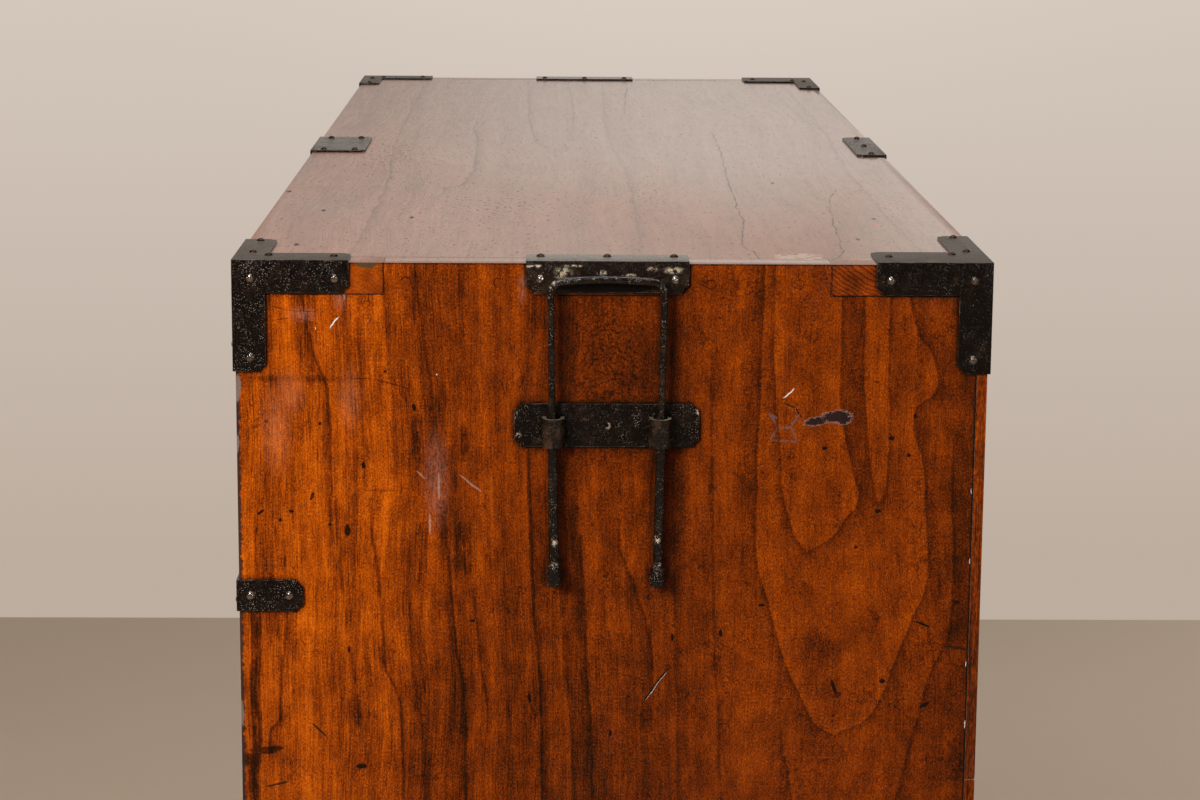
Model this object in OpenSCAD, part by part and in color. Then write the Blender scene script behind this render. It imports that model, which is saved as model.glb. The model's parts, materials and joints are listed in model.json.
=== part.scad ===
// Tansu chest: a box-jointed carcass of lacquered boards, four drawers, black ironwork nailed over
// every joint, and a sliding carrying handle on each end. Millimetres. X runs along the chest, the
// drawers face -Y, Z is up. The origin is at floor level, in the middle of the space that it fills.

/* [Carcass] */
// Length over the two end boards
chest_l = 1212; // [900:1:1400]
// Depth from the front edge to the outer face of the back boards
chest_d = 424; // [380:1:520]
// Thickness of the top board
top_t = 18; // [16:0.5:26]
// Thickness of the bottom board
bottom_t = 18; // [16:0.5:26]
// Thickness of the end boards
end_t = 20; // [19:0.5:28]
// Thickness of the boards nailed on behind
back_t = 6; // [4:0.5:12]
// Number of boards across the back
back_boards_n = 3; // [2:1:5]
// Shrinkage gap between the boards across the back
back_gap = 0.5; // [0.3:0.1:2]
// Fingers in each corner joint of the carcass, an odd number
fingers = 5; // [3:2:7]

/* [Rails and dust boards] */
// Height of the rail between two drawers
rail_h = 19; // [16:0.5:30]
// Depth of the rail, front to back
rail_d = 30; // [24:1:60]
// Thickness of the dust board behind the rail
dust_t = 9; // [6:0.5:14]
// Depth of the groove that holds rail and dust board in the end board
groove_d = 7; // [4:0.5:9]
// Distance from the front edge to where that groove starts
groove_stop = 8; // [6:0.5:14]

/* [Drawers] */
// Height of the top drawer
drawer_h_1 = 162.5; // [120:0.5:260]
// Height of the second drawer
drawer_h_2 = 190; // [120:0.5:260]
// Height of the third drawer
drawer_h_3 = 205; // [120:0.5:260]
// Height of the bottom drawer
drawer_h_4 = 210; // [120:0.5:260]
// Clearance beside a drawer, each side
gap_side = 0.8; // [0.5:0.1:3]
// Clearance over a drawer
gap_over = 1.7; // [1:0.1:4]
// Running clearance under a drawer
gap_under = 0.3; // [0.2:0.1:1]
// Clearance behind a drawer
gap_behind = 5; // [2:0.5:30]
// How far the drawer fronts stand back from the carcass
recess = 1; // [0:0.5:4]
// Thickness of a drawer front
front_t = 18; // [15:0.5:24]
// Thickness of the sides and back of a drawer
side_t = 9; // [7:0.5:12]
// Thickness of the bottom of a drawer
tray_t = 7; // [5:0.5:10]
// Depth of the rebate that takes sides and bottom in the front
lap = 10; // [8:0.5:13]

/* [Sheet iron] */
// Thickness of the sheet iron
plate_t = 1.5; // [1:0.1:2.5]
// Length of the corner irons along the end edges
corner_y = 64; // [50:1:76]
// Length of the corner irons down the upright edges
corner_z = 62; // [50:1:90]
// Length of the front corner irons along the front edge
corner_x_front = 82; // [70:1:130]
// Length of the back corner irons along the back edge
corner_x_back = 108; // [70:1:130]
// Width of the corner irons on upright faces
corner_w = 17.2; // [14:0.1:18]
// Width of the front corner irons on the top, along the end edge
corner_top_w_front = 26; // [22:1:46]
// Width of the back corner irons on the top, along the end edge
corner_top_w_back = 40; // [22:1:46]
// Size of the cusps cut into the free corners of the irons
cusp = 5.2; // [3:0.1:7]
// Length of the iron in the middle of the front top edge
front_iron_l = 96; // [60:1:160]
// Its width on the top
front_iron_w = 39; // [24:1:60]
// Length of the iron in the middle of the back top edge
back_iron_l = 124; // [80:1:200]
// Its width on the top
back_iron_w = 20; // [16:1:40]
// Reach of the rail straps round the end board
strap_end_l = 36.5; // [30:0.5:60]
// Reach of the rail straps along the rail
strap_front_l = 60; // [40:1:100]
// Width of the rail straps
strap_w = 18.4; // [12:0.1:18.6]

/* [Nails] */
// Radius of a nail head
head_r = 2.6; // [2:0.1:3.2]
// Height of a nail head
head_h = 1.6; // [1:0.1:2.2]
// Radius of a nail shank
shank_r = 1; // [0.7:0.1:1.3]
// Depth of a nail in the wood
shank_l = 11; // [6:0.5:12]
// Clearance of a shank or peg in its hole
shank_gap = 0.1; // [0.05:0.05:0.2]
// Radius of the wooden pegs
peg_r = 2.4; // [1.6:0.1:3]
// Length of a peg beyond the board that it is driven through
peg_grip = 22; // [12:0.5:28]
// Distance of the pegs from the top or bottom of the chest
peg_edge = 11.5; // [8:0.1:13]
// Distance of the first peg of a finger from its front side
peg_first = 12; // [8:0.5:30]
// Distance of the second peg of a finger from its back side
peg_last = 19; // [8:0.5:30]

/* [Carrying handles] */
// Half the spacing of the handle's legs at the top
leg_top_y = 31.9; // [29:0.1:34]
// Half the spacing of the legs at the bottom
leg_foot_y = 29.5; // [28:0.1:32]
// Radius of the crossbar
bar_r = 2.3; // [2.2:0.1:2.8]
// Radius of a leg's upper stretch
leg_top_r = 1.9; // [1.4:0.1:2]
// Radius of a leg below the shoulder
leg_mid_r = 2.8; // [2.1:0.1:3]
// Radius of a leg at the foot
leg_foot_r = 3; // [2.8:0.1:3.6]
// Distance of the shoulder below the crossbar
shoulder_drop = 84; // [60:1:110]
// Length of the shoulder's taper
shoulder_l = 7; // [3:0.5:12]
// Rise of the crossbar in the middle
bar_bow = 1.2; // [0.4:0.1:2.5]
// Radius of the bends
bend_r = 7; // [5:0.5:12]
// Crossbar's centre below the top of the chest
bar_drop = 8.3; // [5:0.1:12]
// Top of the stop knobs below the top of the chest
knob_drop = 172.7; // [150:0.1:220]
// Height of a stop knob
knob_h = 12; // [8:0.5:18]
// Radius of a knob's rounded edges
knob_round_r = 2; // [1:0.25:2.5]
// How much wider than a guide loop's bore a knob is, each side
knob_over = 0.4; // [0.3:0.1:1]
// Clearance of the legs in the guide loops
loop_gap = 0.3; // [0.2:0.05:0.8]
// Thickness of a guide loop
loop_t = 2.3; // [1.2:0.1:2.6]
// Height of a guide loop
loop_h = 16.5; // [12:0.5:20]
// Depth of the loop's tails in the end board
tail_l = 12; // [8:0.5:12.5]
// Height of the loop's tails
tail_h = 8; // [5:0.5:11]
// Length of the guide plate
guide_l = 104.5; // [90:0.5:120]
// Height of the guide plate
guide_h = 24.8; // [22:0.1:30]
// Middle of the guide plate below the top of the chest
guide_drop = 92.2; // [84:0.1:100]
// Radius of the empty nail hole in the guide plate
spare_hole_r = 1.3; // [0.8:0.1:2]
// Length of the iron behind the crossbar
bar_iron_l = 91.4; // [84:0.2:110]
// Its height on the end board
bar_iron_h = 16.2; // [14:0.1:17.5]
// Its width on the top
bar_iron_w = 25; // [18:1:44]

/* [Drawer pulls] */
// Distance of the pulls from the middle of the chest
pull_x = 330; // [200:1:350]
// Height of the pull's pivot above the middle of the drawer front
pull_rise = 14; // [0:1:30]
// Half the spacing of the eyes that hold a pull
eye_x = 50; // [36:0.5:70]
// Distance from the drawer front to the pivot
eye_out = 8; // [7:0.5:12]
// Outer radius of an eye
eye_r = 5.2; // [4.6:0.1:6]
// Thickness of an eye
eye_t = 5; // [3:0.5:7]
// Radius of the pull's pivot pins
pin_r = 2.4; // [1.8:0.1:2.8]
// Clearance round a pivot pin
pin_gap = 0.3; // [0.2:0.05:0.5]
// Radius of the eye's shank
post_r = 2.2; // [1.6:0.1:2.8]
// Radius of the washer under an eye
washer_r = 11; // [8:0.5:16]
// Thickness of that washer
washer_t = 1.2; // [0.8:0.1:2]
// Distance from the pivot to the middle of the grip
pull_drop = 34; // [26:0.5:44]
// Radius of the pull's bends
pull_bend_r = 9; // [7:0.5:14]
// Radius of the grip in the middle
grip_r = 3.2; // [2.4:0.1:4]

/* [Hidden] */
$fn = 32;
eps = 0.01;
nut = "#8a4a1c";
nut_top = "#6b3a26";
cedar = "#b98f5f";
iron = "#26231f";
worn_iron = "#3a342d";

// Heights: bays are numbered from the top, as the drawers are
drawer_h = [drawer_h_1, drawer_h_2, drawer_h_3, drawer_h_4];
drawers_n = len(drawer_h);
function total(list, n) = n == 0 ? 0 : list[n - 1] + total(list, n - 1);
bay_h = [for (h = drawer_h) h + gap_over + gap_under];
chest_h = top_t + total(bay_h, drawers_n) + (drawers_n - 1) * rail_h + bottom_t;
function bay_floor(k) = chest_h - top_t - total(bay_h, k) - (k - 1) * rail_h;

// Places: the carcass is set so that the whole chest is centred, pulls and nail heads included
end_x = chest_l / 2;
front_proud = eye_out + eye_r - recess;
back_proud = plate_t + head_h;
front_y = (front_proud - chest_d - back_proud) / 2;
back_y = front_y + chest_d;
board_d = chest_d - back_t;
handle_y = front_y + board_d / 2;
finger_w = board_d / fingers;
back_board_h = (chest_h - top_t) / back_boards_n;
drawer_w = chest_l - 2 * end_t - 2 * gap_side;
drawer_d = board_d - recess - gap_behind;

// Nails: where the heads sit, as [place on the wood, outward direction]
iron_mid = corner_w / 2;
nail_edge = 9;
nail_inset = 8;
strap_nail = 6.5;
bar_nail_y = bar_iron_l / 2 - nail_inset;
function corner_x(side) = side > 0 ? corner_x_front : corner_x_back;
function corner_top_w(side) = side > 0 ? corner_top_w_front : corner_top_w_back;
function corner_end_nails(y, side, z, up) = [
    [[end_x, y + side * nail_edge, z - up * nail_edge], [1, 0, 0]],
    [[end_x, y + side * (corner_y - nail_inset), z - up * nail_edge], [1, 0, 0]],
    [[end_x, y + side * iron_mid, z - up * (corner_z - nail_inset)], [1, 0, 0]]
];
function corner_face_nails(y, side, z, up) = [
    [[end_x - nail_edge - 5, y, z - up * nail_edge], [0, -side, 0]],
    [[end_x - corner_x(side) + nail_inset + 4, y, z - up * nail_edge], [0, -side, 0]],
    [[end_x - iron_mid, y, z - up * (corner_z - nail_inset - 6)], [0, -side, 0]]
];
function corner_top_nails(y, side) = [
    [[end_x - corner_top_w(side) + nail_edge, y + side * 2 * nail_edge, chest_h], [0, 0, 1]],
    [[end_x - corner_top_w(side) / 2 - 1, y + side * (corner_y - nail_edge), chest_h], [0, 0, 1]],
    [[end_x - corner_top_w(side) - 3, y + side * nail_inset, chest_h], [0, 0, 1]],
    [[end_x - corner_x(side) + nail_inset - 1, y + side * nail_inset, chest_h], [0, 0, 1]]
];
bar_iron_nails = concat(
    [for (s = [-1, 1]) [[end_x, handle_y + s * bar_nail_y, chest_h - nail_edge], [1, 0, 0]]],
    [for (s = [-1, 0, 1])
        [[end_x - bar_iron_w + nail_inset, handle_y + s * bar_nail_y, chest_h], [0, 0, 1]]]
);
strap_nails = [for (k = [1 : drawers_n - 1]) for (n = [
    [[end_x, front_y + strap_nail, rail_z(k)], [1, 0, 0]],
    [[end_x, front_y + strap_end_l - nail_inset, rail_z(k)], [1, 0, 0]],
    [[end_x - iron_mid, front_y, rail_z(k) - strap_w / 4], [0, -1, 0]],
    [[end_x - strap_front_l + nail_edge, front_y, rail_z(k)], [0, -1, 0]]
]) n];
function rail_z(k) = bay_floor(k) - rail_h / 2;
half_nails = concat(
    corner_end_nails(front_y, 1, chest_h, 1), corner_end_nails(back_y, -1, chest_h, 1),
    corner_face_nails(front_y, 1, chest_h, 1), corner_face_nails(back_y, -1, chest_h, 1),
    corner_top_nails(front_y, 1), corner_top_nails(back_y, -1),
    corner_end_nails(front_y, 1, 0, -1), corner_end_nails(back_y, -1, 0, -1),
    corner_face_nails(front_y, 1, 0, -1), corner_face_nails(back_y, -1, 0, -1),
    bar_iron_nails, strap_nails
);
front_iron_nail = front_iron_l / 2 - nail_inset;
back_iron_nail = back_iron_l / 2 - nail_inset;
middle_nails = concat(
    [for (s = [-1, 1]) for (w = [nail_inset, front_iron_w - nail_inset])
        [[s * front_iron_nail, front_y + w, chest_h], [0, 0, 1]]],
    [for (s = [-1, 1]) [[s * (front_iron_nail - 4), front_y, chest_h - nail_edge], [0, -1, 0]]],
    [for (s = [-1, 0, 1]) [[s * back_iron_nail, back_y - back_iron_w / 2 + 1, chest_h], [0, 0, 1]]],
    [for (s = [-1, 1]) [[s * (back_iron_nail - 4), back_y, chest_h - nail_edge], [0, 1, 0]]]
);
nails = concat(
    half_nails,
    [for (n = half_nails) [[-n[0][0], n[0][1], n[0][2]], [-n[1][0], n[1][1], n[1][2]]]],
    middle_nails
);

// Turns +Z to the outward direction d, which lies along an axis
module face(d) {
    rotate(d[0] != 0 ? [0, 90 * d[0], 0] : d[1] != 0 ? [-90 * d[1], 0, 0] : [0, 0, 0]) children();
}

// One nail on the iron, with its shank through the iron and in the wood
module nail(n) {
    cap_r = (head_r * head_r + head_h * head_h) / (2 * head_h);
    translate(n[0]) face(n[1]) {
        translate([0, 0, plate_t]) intersection() {
            translate([0, 0, head_h - cap_r]) sphere(cap_r);
            cylinder(r = head_r, h = head_h);
        }
        translate([0, 0, -shank_l]) cylinder(r = shank_r, h = shank_l + plate_t + eps);
    }
}

// Pegs, in the same form, with the thickness of the board that each is driven through
joint_pegs = [for (z = [peg_edge, chest_h - peg_edge]) for (i = [1 : 2 : fingers - 1])
    for (y = [i * finger_w + peg_first, (i + 1) * finger_w - peg_last]) for (s = [-1, 1])
        [[s * end_x, front_y + y, z], [s, 0, 0], end_t]];
back_pegs = [for (i = [0 : 2 * back_boards_n - 1]) for (s = [-1, 1])
    [[s * (end_x - end_t / 2), back_y, (i + 0.5) * back_board_h / 2], [0, 1, 0], back_t]];
pegs = concat(joint_pegs, back_pegs);

// True where what is driven in at n passes through the box from lo to hi
function hits(n, r, deep, lo, hi) = let (tip = n[0] - n[1] * deep, head = n[0] + n[1] * plate_t)
    min([for (i = [0 : 2]) min(hi[i] - min(tip[i], head[i]), max(tip[i], head[i]) - lo[i]) + r]) > 0;

// Drills the holes of all nails and pegs that pass through the box from lo to hi
module drilled(lo, hi) {
    difference() {
        children();
        for (n = nails)
            if (hits(n, shank_r, shank_l, lo, hi)) bored(n, shank_r, shank_l);
        for (n = pegs)
            if (hits(n, peg_r, n[2] + peg_grip, lo, hi)) bored(n, peg_r, n[2] + peg_grip);
    }
}

module bored(n, r, deep) {
    translate(n[0]) face(n[1])
        translate([0, 0, -deep - shank_gap]) cylinder(r = r + shank_gap, h = deep + plate_t + 1);
}

module wooden_pegs() {
    color(cedar) for (n = pegs)
        translate(n[0]) face(n[1])
            translate([0, 0, -n[2] - peg_grip]) cylinder(r = peg_r, h = n[2] + peg_grip);
}

// Box between two corners
module block(lo, hi) {
    translate(lo) cube(hi - lo);
}

// The other end of the chest, as a mirror image
module at_left() {
    mirror([1, 0, 0]) children();
}

// Carcass boards
module finger_cuts(first, z_lo, z_hi) {
    for (i = [first : 2 : fingers - 1])
        block([end_x - end_t - eps, front_y + i * finger_w - (i == 0 ? 1 : 0), z_lo],
              [end_x + 1, front_y + (i + 1) * finger_w + (i == fingers - 1 ? back_t + 1 : 0), z_hi]);
}

module end_board() {
    color(nut) drilled([end_x - end_t, front_y, 0], [end_x, front_y + board_d, chest_h]) difference() {
        block([end_x - end_t, front_y, 0], [end_x, front_y + board_d, chest_h]);
        finger_cuts(0, chest_h - top_t, chest_h + 1);
        finger_cuts(0, -1, bottom_t);
        for (k = [1 : drawers_n - 1])
            block([end_x - end_t - 1, front_y + groove_stop, bay_floor(k) - dust_t],
                  [end_x - end_t + groove_d, front_y + board_d + 1, bay_floor(k)]);
        loop_tails(0);
    }
}

module long_board(z_lo, z_hi, depth, tint) {
    color(tint) drilled([-end_x, front_y, z_lo], [end_x, front_y + depth, z_hi]) difference() {
        block([-end_x, front_y, z_lo], [end_x, front_y + depth, z_hi]);
        finger_cuts(1, z_lo - 1, z_hi + 1);
        at_left() finger_cuts(1, z_lo - 1, z_hi + 1);
    }
}

module back_boards() {
    for (i = [0 : back_boards_n - 1]) {
        lo = [-end_x, back_y - back_t, i * back_board_h + (i == 0 ? 0 : back_gap)];
        hi = [end_x, back_y, (i + 1) * back_board_h];
        color(cedar) drilled(lo, hi) block(lo, hi);
    }
}

module drawer_rail(k) {
    in_x = end_x - end_t;
    z = bay_floor(k);
    color(nut) drilled([-in_x, front_y, z - rail_h], [in_x, front_y + rail_d, z]) {
        block([-in_x, front_y, z - rail_h], [in_x, front_y + rail_d, z]);
        block([-in_x - groove_d, front_y + groove_stop, z - dust_t],
              [in_x + groove_d, front_y + rail_d, z]);
    }
}

module dust_boards() {
    reach = end_x - end_t + groove_d;
    for (k = [1 : drawers_n - 1])
        color(cedar) block([-reach, front_y + rail_d, bay_floor(k) - dust_t],
                           [reach, front_y + board_d, bay_floor(k)]);
}

// A sheet outline, l long and w wide, with a cusp at the far corner beside y = w,
// and at the other one if both
function quarter(c, first) = [for (i = [first : 4]) c + cusp / 2 * [sin(i * 22.5), cos(i * 22.5)]];
function cusp_at(l, w) = concat(quarter([l - cusp, w - cusp / 2], 0), quarter([l - cusp / 2, w - cusp], 1));
function cusped(l, w, both) = let (far = cusp_at(l, w), n = len(far) - 1) concat(
    [[0, 0], [0, w]], far, both ? [for (i = [n : -1 : 0]) [far[i][0], w - far[i][1]]] : [[l, 0]]
);

// A sheet of iron from point o, l long towards a and w wide towards b, its thickness towards out
module sheet(o, a, b, out, l, w, both = false) {
    multmatrix([[a[0], b[0], out[0], o[0]], [a[1], b[1], out[1], o[1]], [a[2], b[2], out[2], o[2]]])
        linear_extrude(plate_t) polygon(cusped(l, w, both));
}

// One corner iron at the right end: side is 1 at the front and -1 at the back,
// up is 1 at the top and -1 at the base
module corner_iron(side, up) {
    t = plate_t;
    y = side > 0 ? front_y : back_y;
    z = up > 0 ? chest_h : 0;
    lip = up > 0 ? t : 0;
    reach_x = corner_x(side);
    top_w = corner_top_w(side);
    far = [end_x - reach_x, y + side * max(corner_y, corner_w), z - up * corner_z];
    near = [end_x + t, y - side * t, z + up * lip];
    lo = [for (i = [0 : 2]) min(far[i], near[i])];
    hi = [for (i = [0 : 2]) max(far[i], near[i])];
    color(iron) drilled(lo, hi) union() {
        // along the edge and down it, on the end board
        sheet([end_x, near[1], near[2]], [0, side, 0], [0, 0, -up], [1, 0, 0],
              corner_y + t, corner_w + lip);
        sheet([end_x, near[1], near[2]], [0, 0, -up], [0, side, 0], [1, 0, 0],
              corner_z + lip, corner_w + t);
        // the same on the front or back
        sheet([near[0], y, near[2]], [-1, 0, 0], [0, 0, -up], [0, -side, 0],
              reach_x + t, corner_w + lip);
        sheet([near[0], y, near[2]], [0, 0, -up], [-1, 0, 0], [0, -side, 0],
              corner_z + lip, corner_w + t);
        if (up > 0) {
            // on the top
            sheet([near[0], near[1], z], [0, side, 0], [-1, 0, 0], [0, 0, 1],
                  corner_y + t, top_w + t);
            sheet([near[0], near[1], z], [-1, 0, 0], [0, side, 0], [0, 0, 1],
                  reach_x + t, corner_w + t);
        }
    }
}

// The folded iron in the middle of the front or back top edge
module edge_iron(side, l, w) {
    y = side > 0 ? front_y : back_y;
    lo = [-l / 2, min(y - side * plate_t, y + side * w), chest_h - corner_w];
    hi = [l / 2, max(y - side * plate_t, y + side * w), chest_h + plate_t];
    color(iron) drilled(lo, hi) union() {
        for (s = [-1, 1]) {
            sheet([0, y - side * plate_t, chest_h], [s, 0, 0], [0, side, 0], [0, 0, 1],
                  l / 2, w + plate_t);
            sheet([0, y, chest_h + plate_t], [s, 0, 0], [0, 0, -1], [0, -side, 0],
                  l / 2, corner_w + plate_t);
        }
    }
}

// The folded iron behind the crossbar of a carrying handle
module bar_iron() {
    lo = [end_x - bar_iron_w, handle_y - bar_iron_l / 2, chest_h - bar_iron_h];
    hi = [end_x + plate_t, handle_y + bar_iron_l / 2, chest_h + plate_t];
    color(worn_iron) drilled(lo, hi) union() {
        for (s = [-1, 1])
            sheet([end_x, handle_y, chest_h + plate_t], [0, s, 0], [0, 0, -1], [1, 0, 0],
                  bar_iron_l / 2, bar_iron_h + plate_t);
        block([lo[0], lo[1], chest_h], hi);
    }
}

// Straps round the front edge, one at each rail
module rail_straps() {
    for (k = [1 : drawers_n - 1]) {
        lo = [end_x - strap_front_l, front_y - plate_t, rail_z(k) - strap_w / 2];
        hi = [end_x + plate_t, front_y + strap_end_l, rail_z(k) + strap_w / 2];
        color(iron) drilled(lo, hi) union() {
            sheet([end_x, front_y - plate_t, lo[2]], [0, 1, 0], [0, 0, 1], [1, 0, 0],
                  strap_end_l + plate_t, strap_w, true);
            sheet([end_x + plate_t, front_y, lo[2]], [-1, 0, 0], [0, 0, 1], [0, -1, 0],
                  strap_front_l + plate_t, strap_w, true);
        }
    }
}

// Sliding carrying handle and what guides it: the loops' bore takes both ends of the splayed, tapered legs
loop_y = (leg_top_y + leg_top_r + leg_foot_y - leg_foot_r) / 2;
loop_r = (leg_top_y + leg_top_r - leg_foot_y + leg_foot_r) / 2 + loop_gap;
knob_r = loop_r + knob_over;
handle_out = plate_t + knob_over + knob_r;
guide_z = chest_h - guide_drop;
loop_bottom = guide_z - guide_h / 2 + 1;

module loop_outline(r) {
    intersection() {
        union() {
            translate([handle_out, 0]) circle(r);
            translate([plate_t, -r]) square([handle_out - plate_t, 2 * r]);
        }
        translate([plate_t, -r - 1]) square([handle_out + r, 2 * r + 2]);
    }
}

module guide_loops() {
    color(worn_iron) for (s = [-1, 1])
        union() {
            translate([end_x, handle_y + s * loop_y, loop_bottom])
                linear_extrude(loop_h) difference() {
                    loop_outline(loop_r + loop_t);
                    translate([-eps, 0]) loop_outline(loop_r);
                }
            loop_tail_pair(s, eps);
        }
}

module loop_tail_pair(s, overlap) {
    for (side = [-1, 1])
        translate([end_x - tail_l, handle_y + s * loop_y + side * (loop_r + loop_t / 2) - loop_t / 2,
                   loop_bottom + loop_h / 2 - tail_h / 2])
            cube([tail_l + plate_t + overlap, loop_t, tail_h]);
}

module loop_tails(overlap) {
    for (s = [-1, 1])
        loop_tail_pair(s, overlap);
}

module guide_plate() {
    color(iron) difference() {
        union()
            for (s = [-1, 1])
                sheet([end_x, handle_y, guide_z - guide_h / 2], [0, s, 0], [0, 0, 1], [1, 0, 0],
                      guide_l / 2, guide_h, true);
        loop_tails(1);
        translate([end_x - 1, handle_y, guide_z]) rotate([0, 90, 0])
            cylinder(r = spare_hole_r, h = plate_t + 2);
    }
}

// Bent bar in the YZ plane: a bowed crossbar, two bends whose centres lie on a circle round the bow's
// own centre, and two splayed legs that end in knobs
module carrying_handle() {
    leg_l = knob_drop - bar_drop - bar_bow - bend_r;
    splay = asin((leg_top_y - leg_foot_y) / leg_l);
    chord = leg_top_y - bend_r;
    hub_r = (chord * chord + bar_bow * bar_bow) / (2 * bar_bow);
    bow_a = asin(chord / hub_r);
    bow_r = hub_r + bend_r;
    bend_bar_r = (bar_r + leg_top_r) / 2;
    seat_a = 1;
    color(iron) translate([end_x + handle_out, handle_y, chest_h - bar_drop])
        rotate([90, 0, 90]) translate([0, -bow_r]) {
            rotate([0, 0, 90 - bow_a]) ring(bow_r, bar_r, 2 * bow_a);
            for (m = [0, 1]) mirror([m, 0, 0])
                translate(hub_r * [sin(bow_a), cos(bow_a)]) rotate([0, 0, -splay]) {
                    ring(bend_r, bend_bar_r, 90 - bow_a + splay + seat_a);
                    translate([bend_r, 0]) rotate([90, 0, 0]) rotate_extrude() polygon(leg_profile(leg_l));
                }
        }
}

// Half outline of a leg and its knob as [radius, distance down the leg], from a seat inside the bend
function leg_profile(leg_l) = let (
    shoulder = shoulder_drop - bar_bow - bend_r,
    seat = 0.1,
    end = leg_l + knob_h,
    core_r = knob_r - knob_round_r,
    top_z = leg_l + knob_round_r,
    foot_z = end - knob_round_r
) concat(
    [[0, -seat], [leg_top_r, -seat], [leg_top_r, shoulder], [leg_mid_r, shoulder + shoulder_l]],
    [[leg_foot_r, leg_l]],
    [for (a = [0 : 22.5 : 90]) [core_r + knob_round_r * sin(a), top_z - knob_round_r * cos(a)]],
    [for (a = [0 : 22.5 : 90]) [core_r + knob_round_r * cos(a), foot_z + knob_round_r * sin(a)]],
    [[0, end]]
);

// Part of a ring in the XY plane from angle 0 to a, of a round bar
module ring(r, bar, a) {
    rotate_extrude(angle = a, $fn = 96) translate([r, 0]) circle(bar);
}

// Drawers, drawn from the left front bottom corner of each
module in_drawer(k) {
    translate([-drawer_w / 2, front_y + recess, bay_floor(k) + gap_under]) children();
}

function eye_z(k) = drawer_h[k - 1] / 2 + pull_rise;

module drawer_front(k) {
    h = drawer_h[k - 1];
    color(nut) in_drawer(k) difference() {
        cube([drawer_w, front_t, h]);
        translate([-1, front_t - lap, -1]) cube([side_t + 1, lap + 1, h + 2]);
        translate([drawer_w - side_t, front_t - lap, -1]) cube([side_t + 1, lap + 1, h + 2]);
        translate([-1, front_t - lap, -1]) cube([drawer_w + 2, lap + 1, tray_t + 1]);
        for (s = [-1, 1], e = [-1, 1])
            translate([drawer_w / 2 + s * pull_x + e * eye_x, -1, eye_z(k)])
                rotate([-90, 0, 0]) cylinder(r = post_r + shank_gap, h = front_t + 2);
    }
}

module drawer_side(k) {
    h = drawer_h[k - 1] - tray_t;
    color(cedar) in_drawer(k) translate([0, front_t - lap, tray_t]) difference() {
        cube([side_t, drawer_d - front_t + lap, h]);
        translate([-1, drawer_d - front_t + lap - side_t, h / 3]) cube([side_t + 2, side_t + 1, h / 3]);
    }
}

module drawer_back(k) {
    h = drawer_h[k - 1] - tray_t;
    color(cedar) in_drawer(k) translate([0, drawer_d - side_t, tray_t]) union() {
        translate([side_t, 0, 0]) cube([drawer_w - 2 * side_t, side_t, h]);
        translate([0, 0, h / 3]) cube([drawer_w, side_t, h / 3]);
    }
}

module drawer_bottom(k) {
    color(cedar) in_drawer(k) translate([0, front_t - lap, 0])
        cube([drawer_w, drawer_d - front_t + lap, tray_t]);
}

// Eyes of both pulls: ring, washer, shank through the front, and two tails clenched behind it
module pull_eyes(k) {
    color(iron) in_drawer(k)
        for (s = [-1, 1], e = [-1, 1])
            translate([drawer_w / 2 + s * pull_x + e * eye_x, 0, eye_z(k)]) {
                pull_eye();
                washer();
            }
}

module pull_eye() {
    tail_w = 3;
    clench_l = 13;
    clench_t = 1.2;
    difference() {
        union() {
            translate([-eye_t / 2, -eye_out, 0]) rotate([0, 90, 0]) cylinder(r = eye_r, h = eye_t);
            rotate([90, 0, 0]) translate([0, 0, -front_t])
                cylinder(r = post_r, h = front_t + eye_out - eye_r + 1);
            translate([-tail_w / 2, front_t, -clench_l]) cube([tail_w, clench_t, 2 * clench_l]);
        }
        translate([-eye_t / 2 - 1, -eye_out, 0]) rotate([0, 90, 0])
            cylinder(r = pin_r + pin_gap, h = eye_t + 2);
    }
}

module washer() {
    dome_r = (washer_r * washer_r + washer_t * washer_t) / (2 * washer_t);
    rotate([90, 0, 0]) difference() {
        intersection() {
            translate([0, 0, washer_t - dome_r]) sphere(dome_r, $fn = 96);
            cylinder(r = washer_r, h = washer_t);
        }
        translate([0, 0, -1]) cylinder(r = post_r + shank_gap, h = washer_t + 2);
    }
}

// A pull: pins in the eyes, two arms, bends, and a grip that swells in the middle
module pull(k, s) {
    arm_x = eye_x - eye_t / 2 - pin_r - 0.6;
    bulb_x = eye_x + eye_t / 2 + 0.5;
    grip_l = arm_x - pull_bend_r;
    color(iron) in_drawer(k) translate([drawer_w / 2 + s * pull_x, -eye_out, eye_z(k)])
        for (m = [0, 1]) mirror([m, 0, 0]) {
            translate([arm_x, 0, 0]) {
                sphere(pin_r);
                rotate([0, 90, 0]) cylinder(r = pin_r, h = bulb_x - arm_x + 1);
                rotate([180, 0, 0]) cylinder(r = pin_r, h = pull_drop - pull_bend_r);
            }
            translate([bulb_x, 0, 0]) rotate([0, 90, 0]) cylinder(r1 = pin_r + 1.2, r2 = pin_r, h = 3);
            translate([arm_x - pull_bend_r, 0, pull_bend_r - pull_drop]) rotate([90, 0, 0])
                rotate([0, 0, -90]) ring(pull_bend_r, pin_r, 90);
            translate([0, 0, -pull_drop]) rotate([0, 90, 0]) cylinder(r1 = grip_r, r2 = pin_r, h = grip_l);
        }
}

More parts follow.
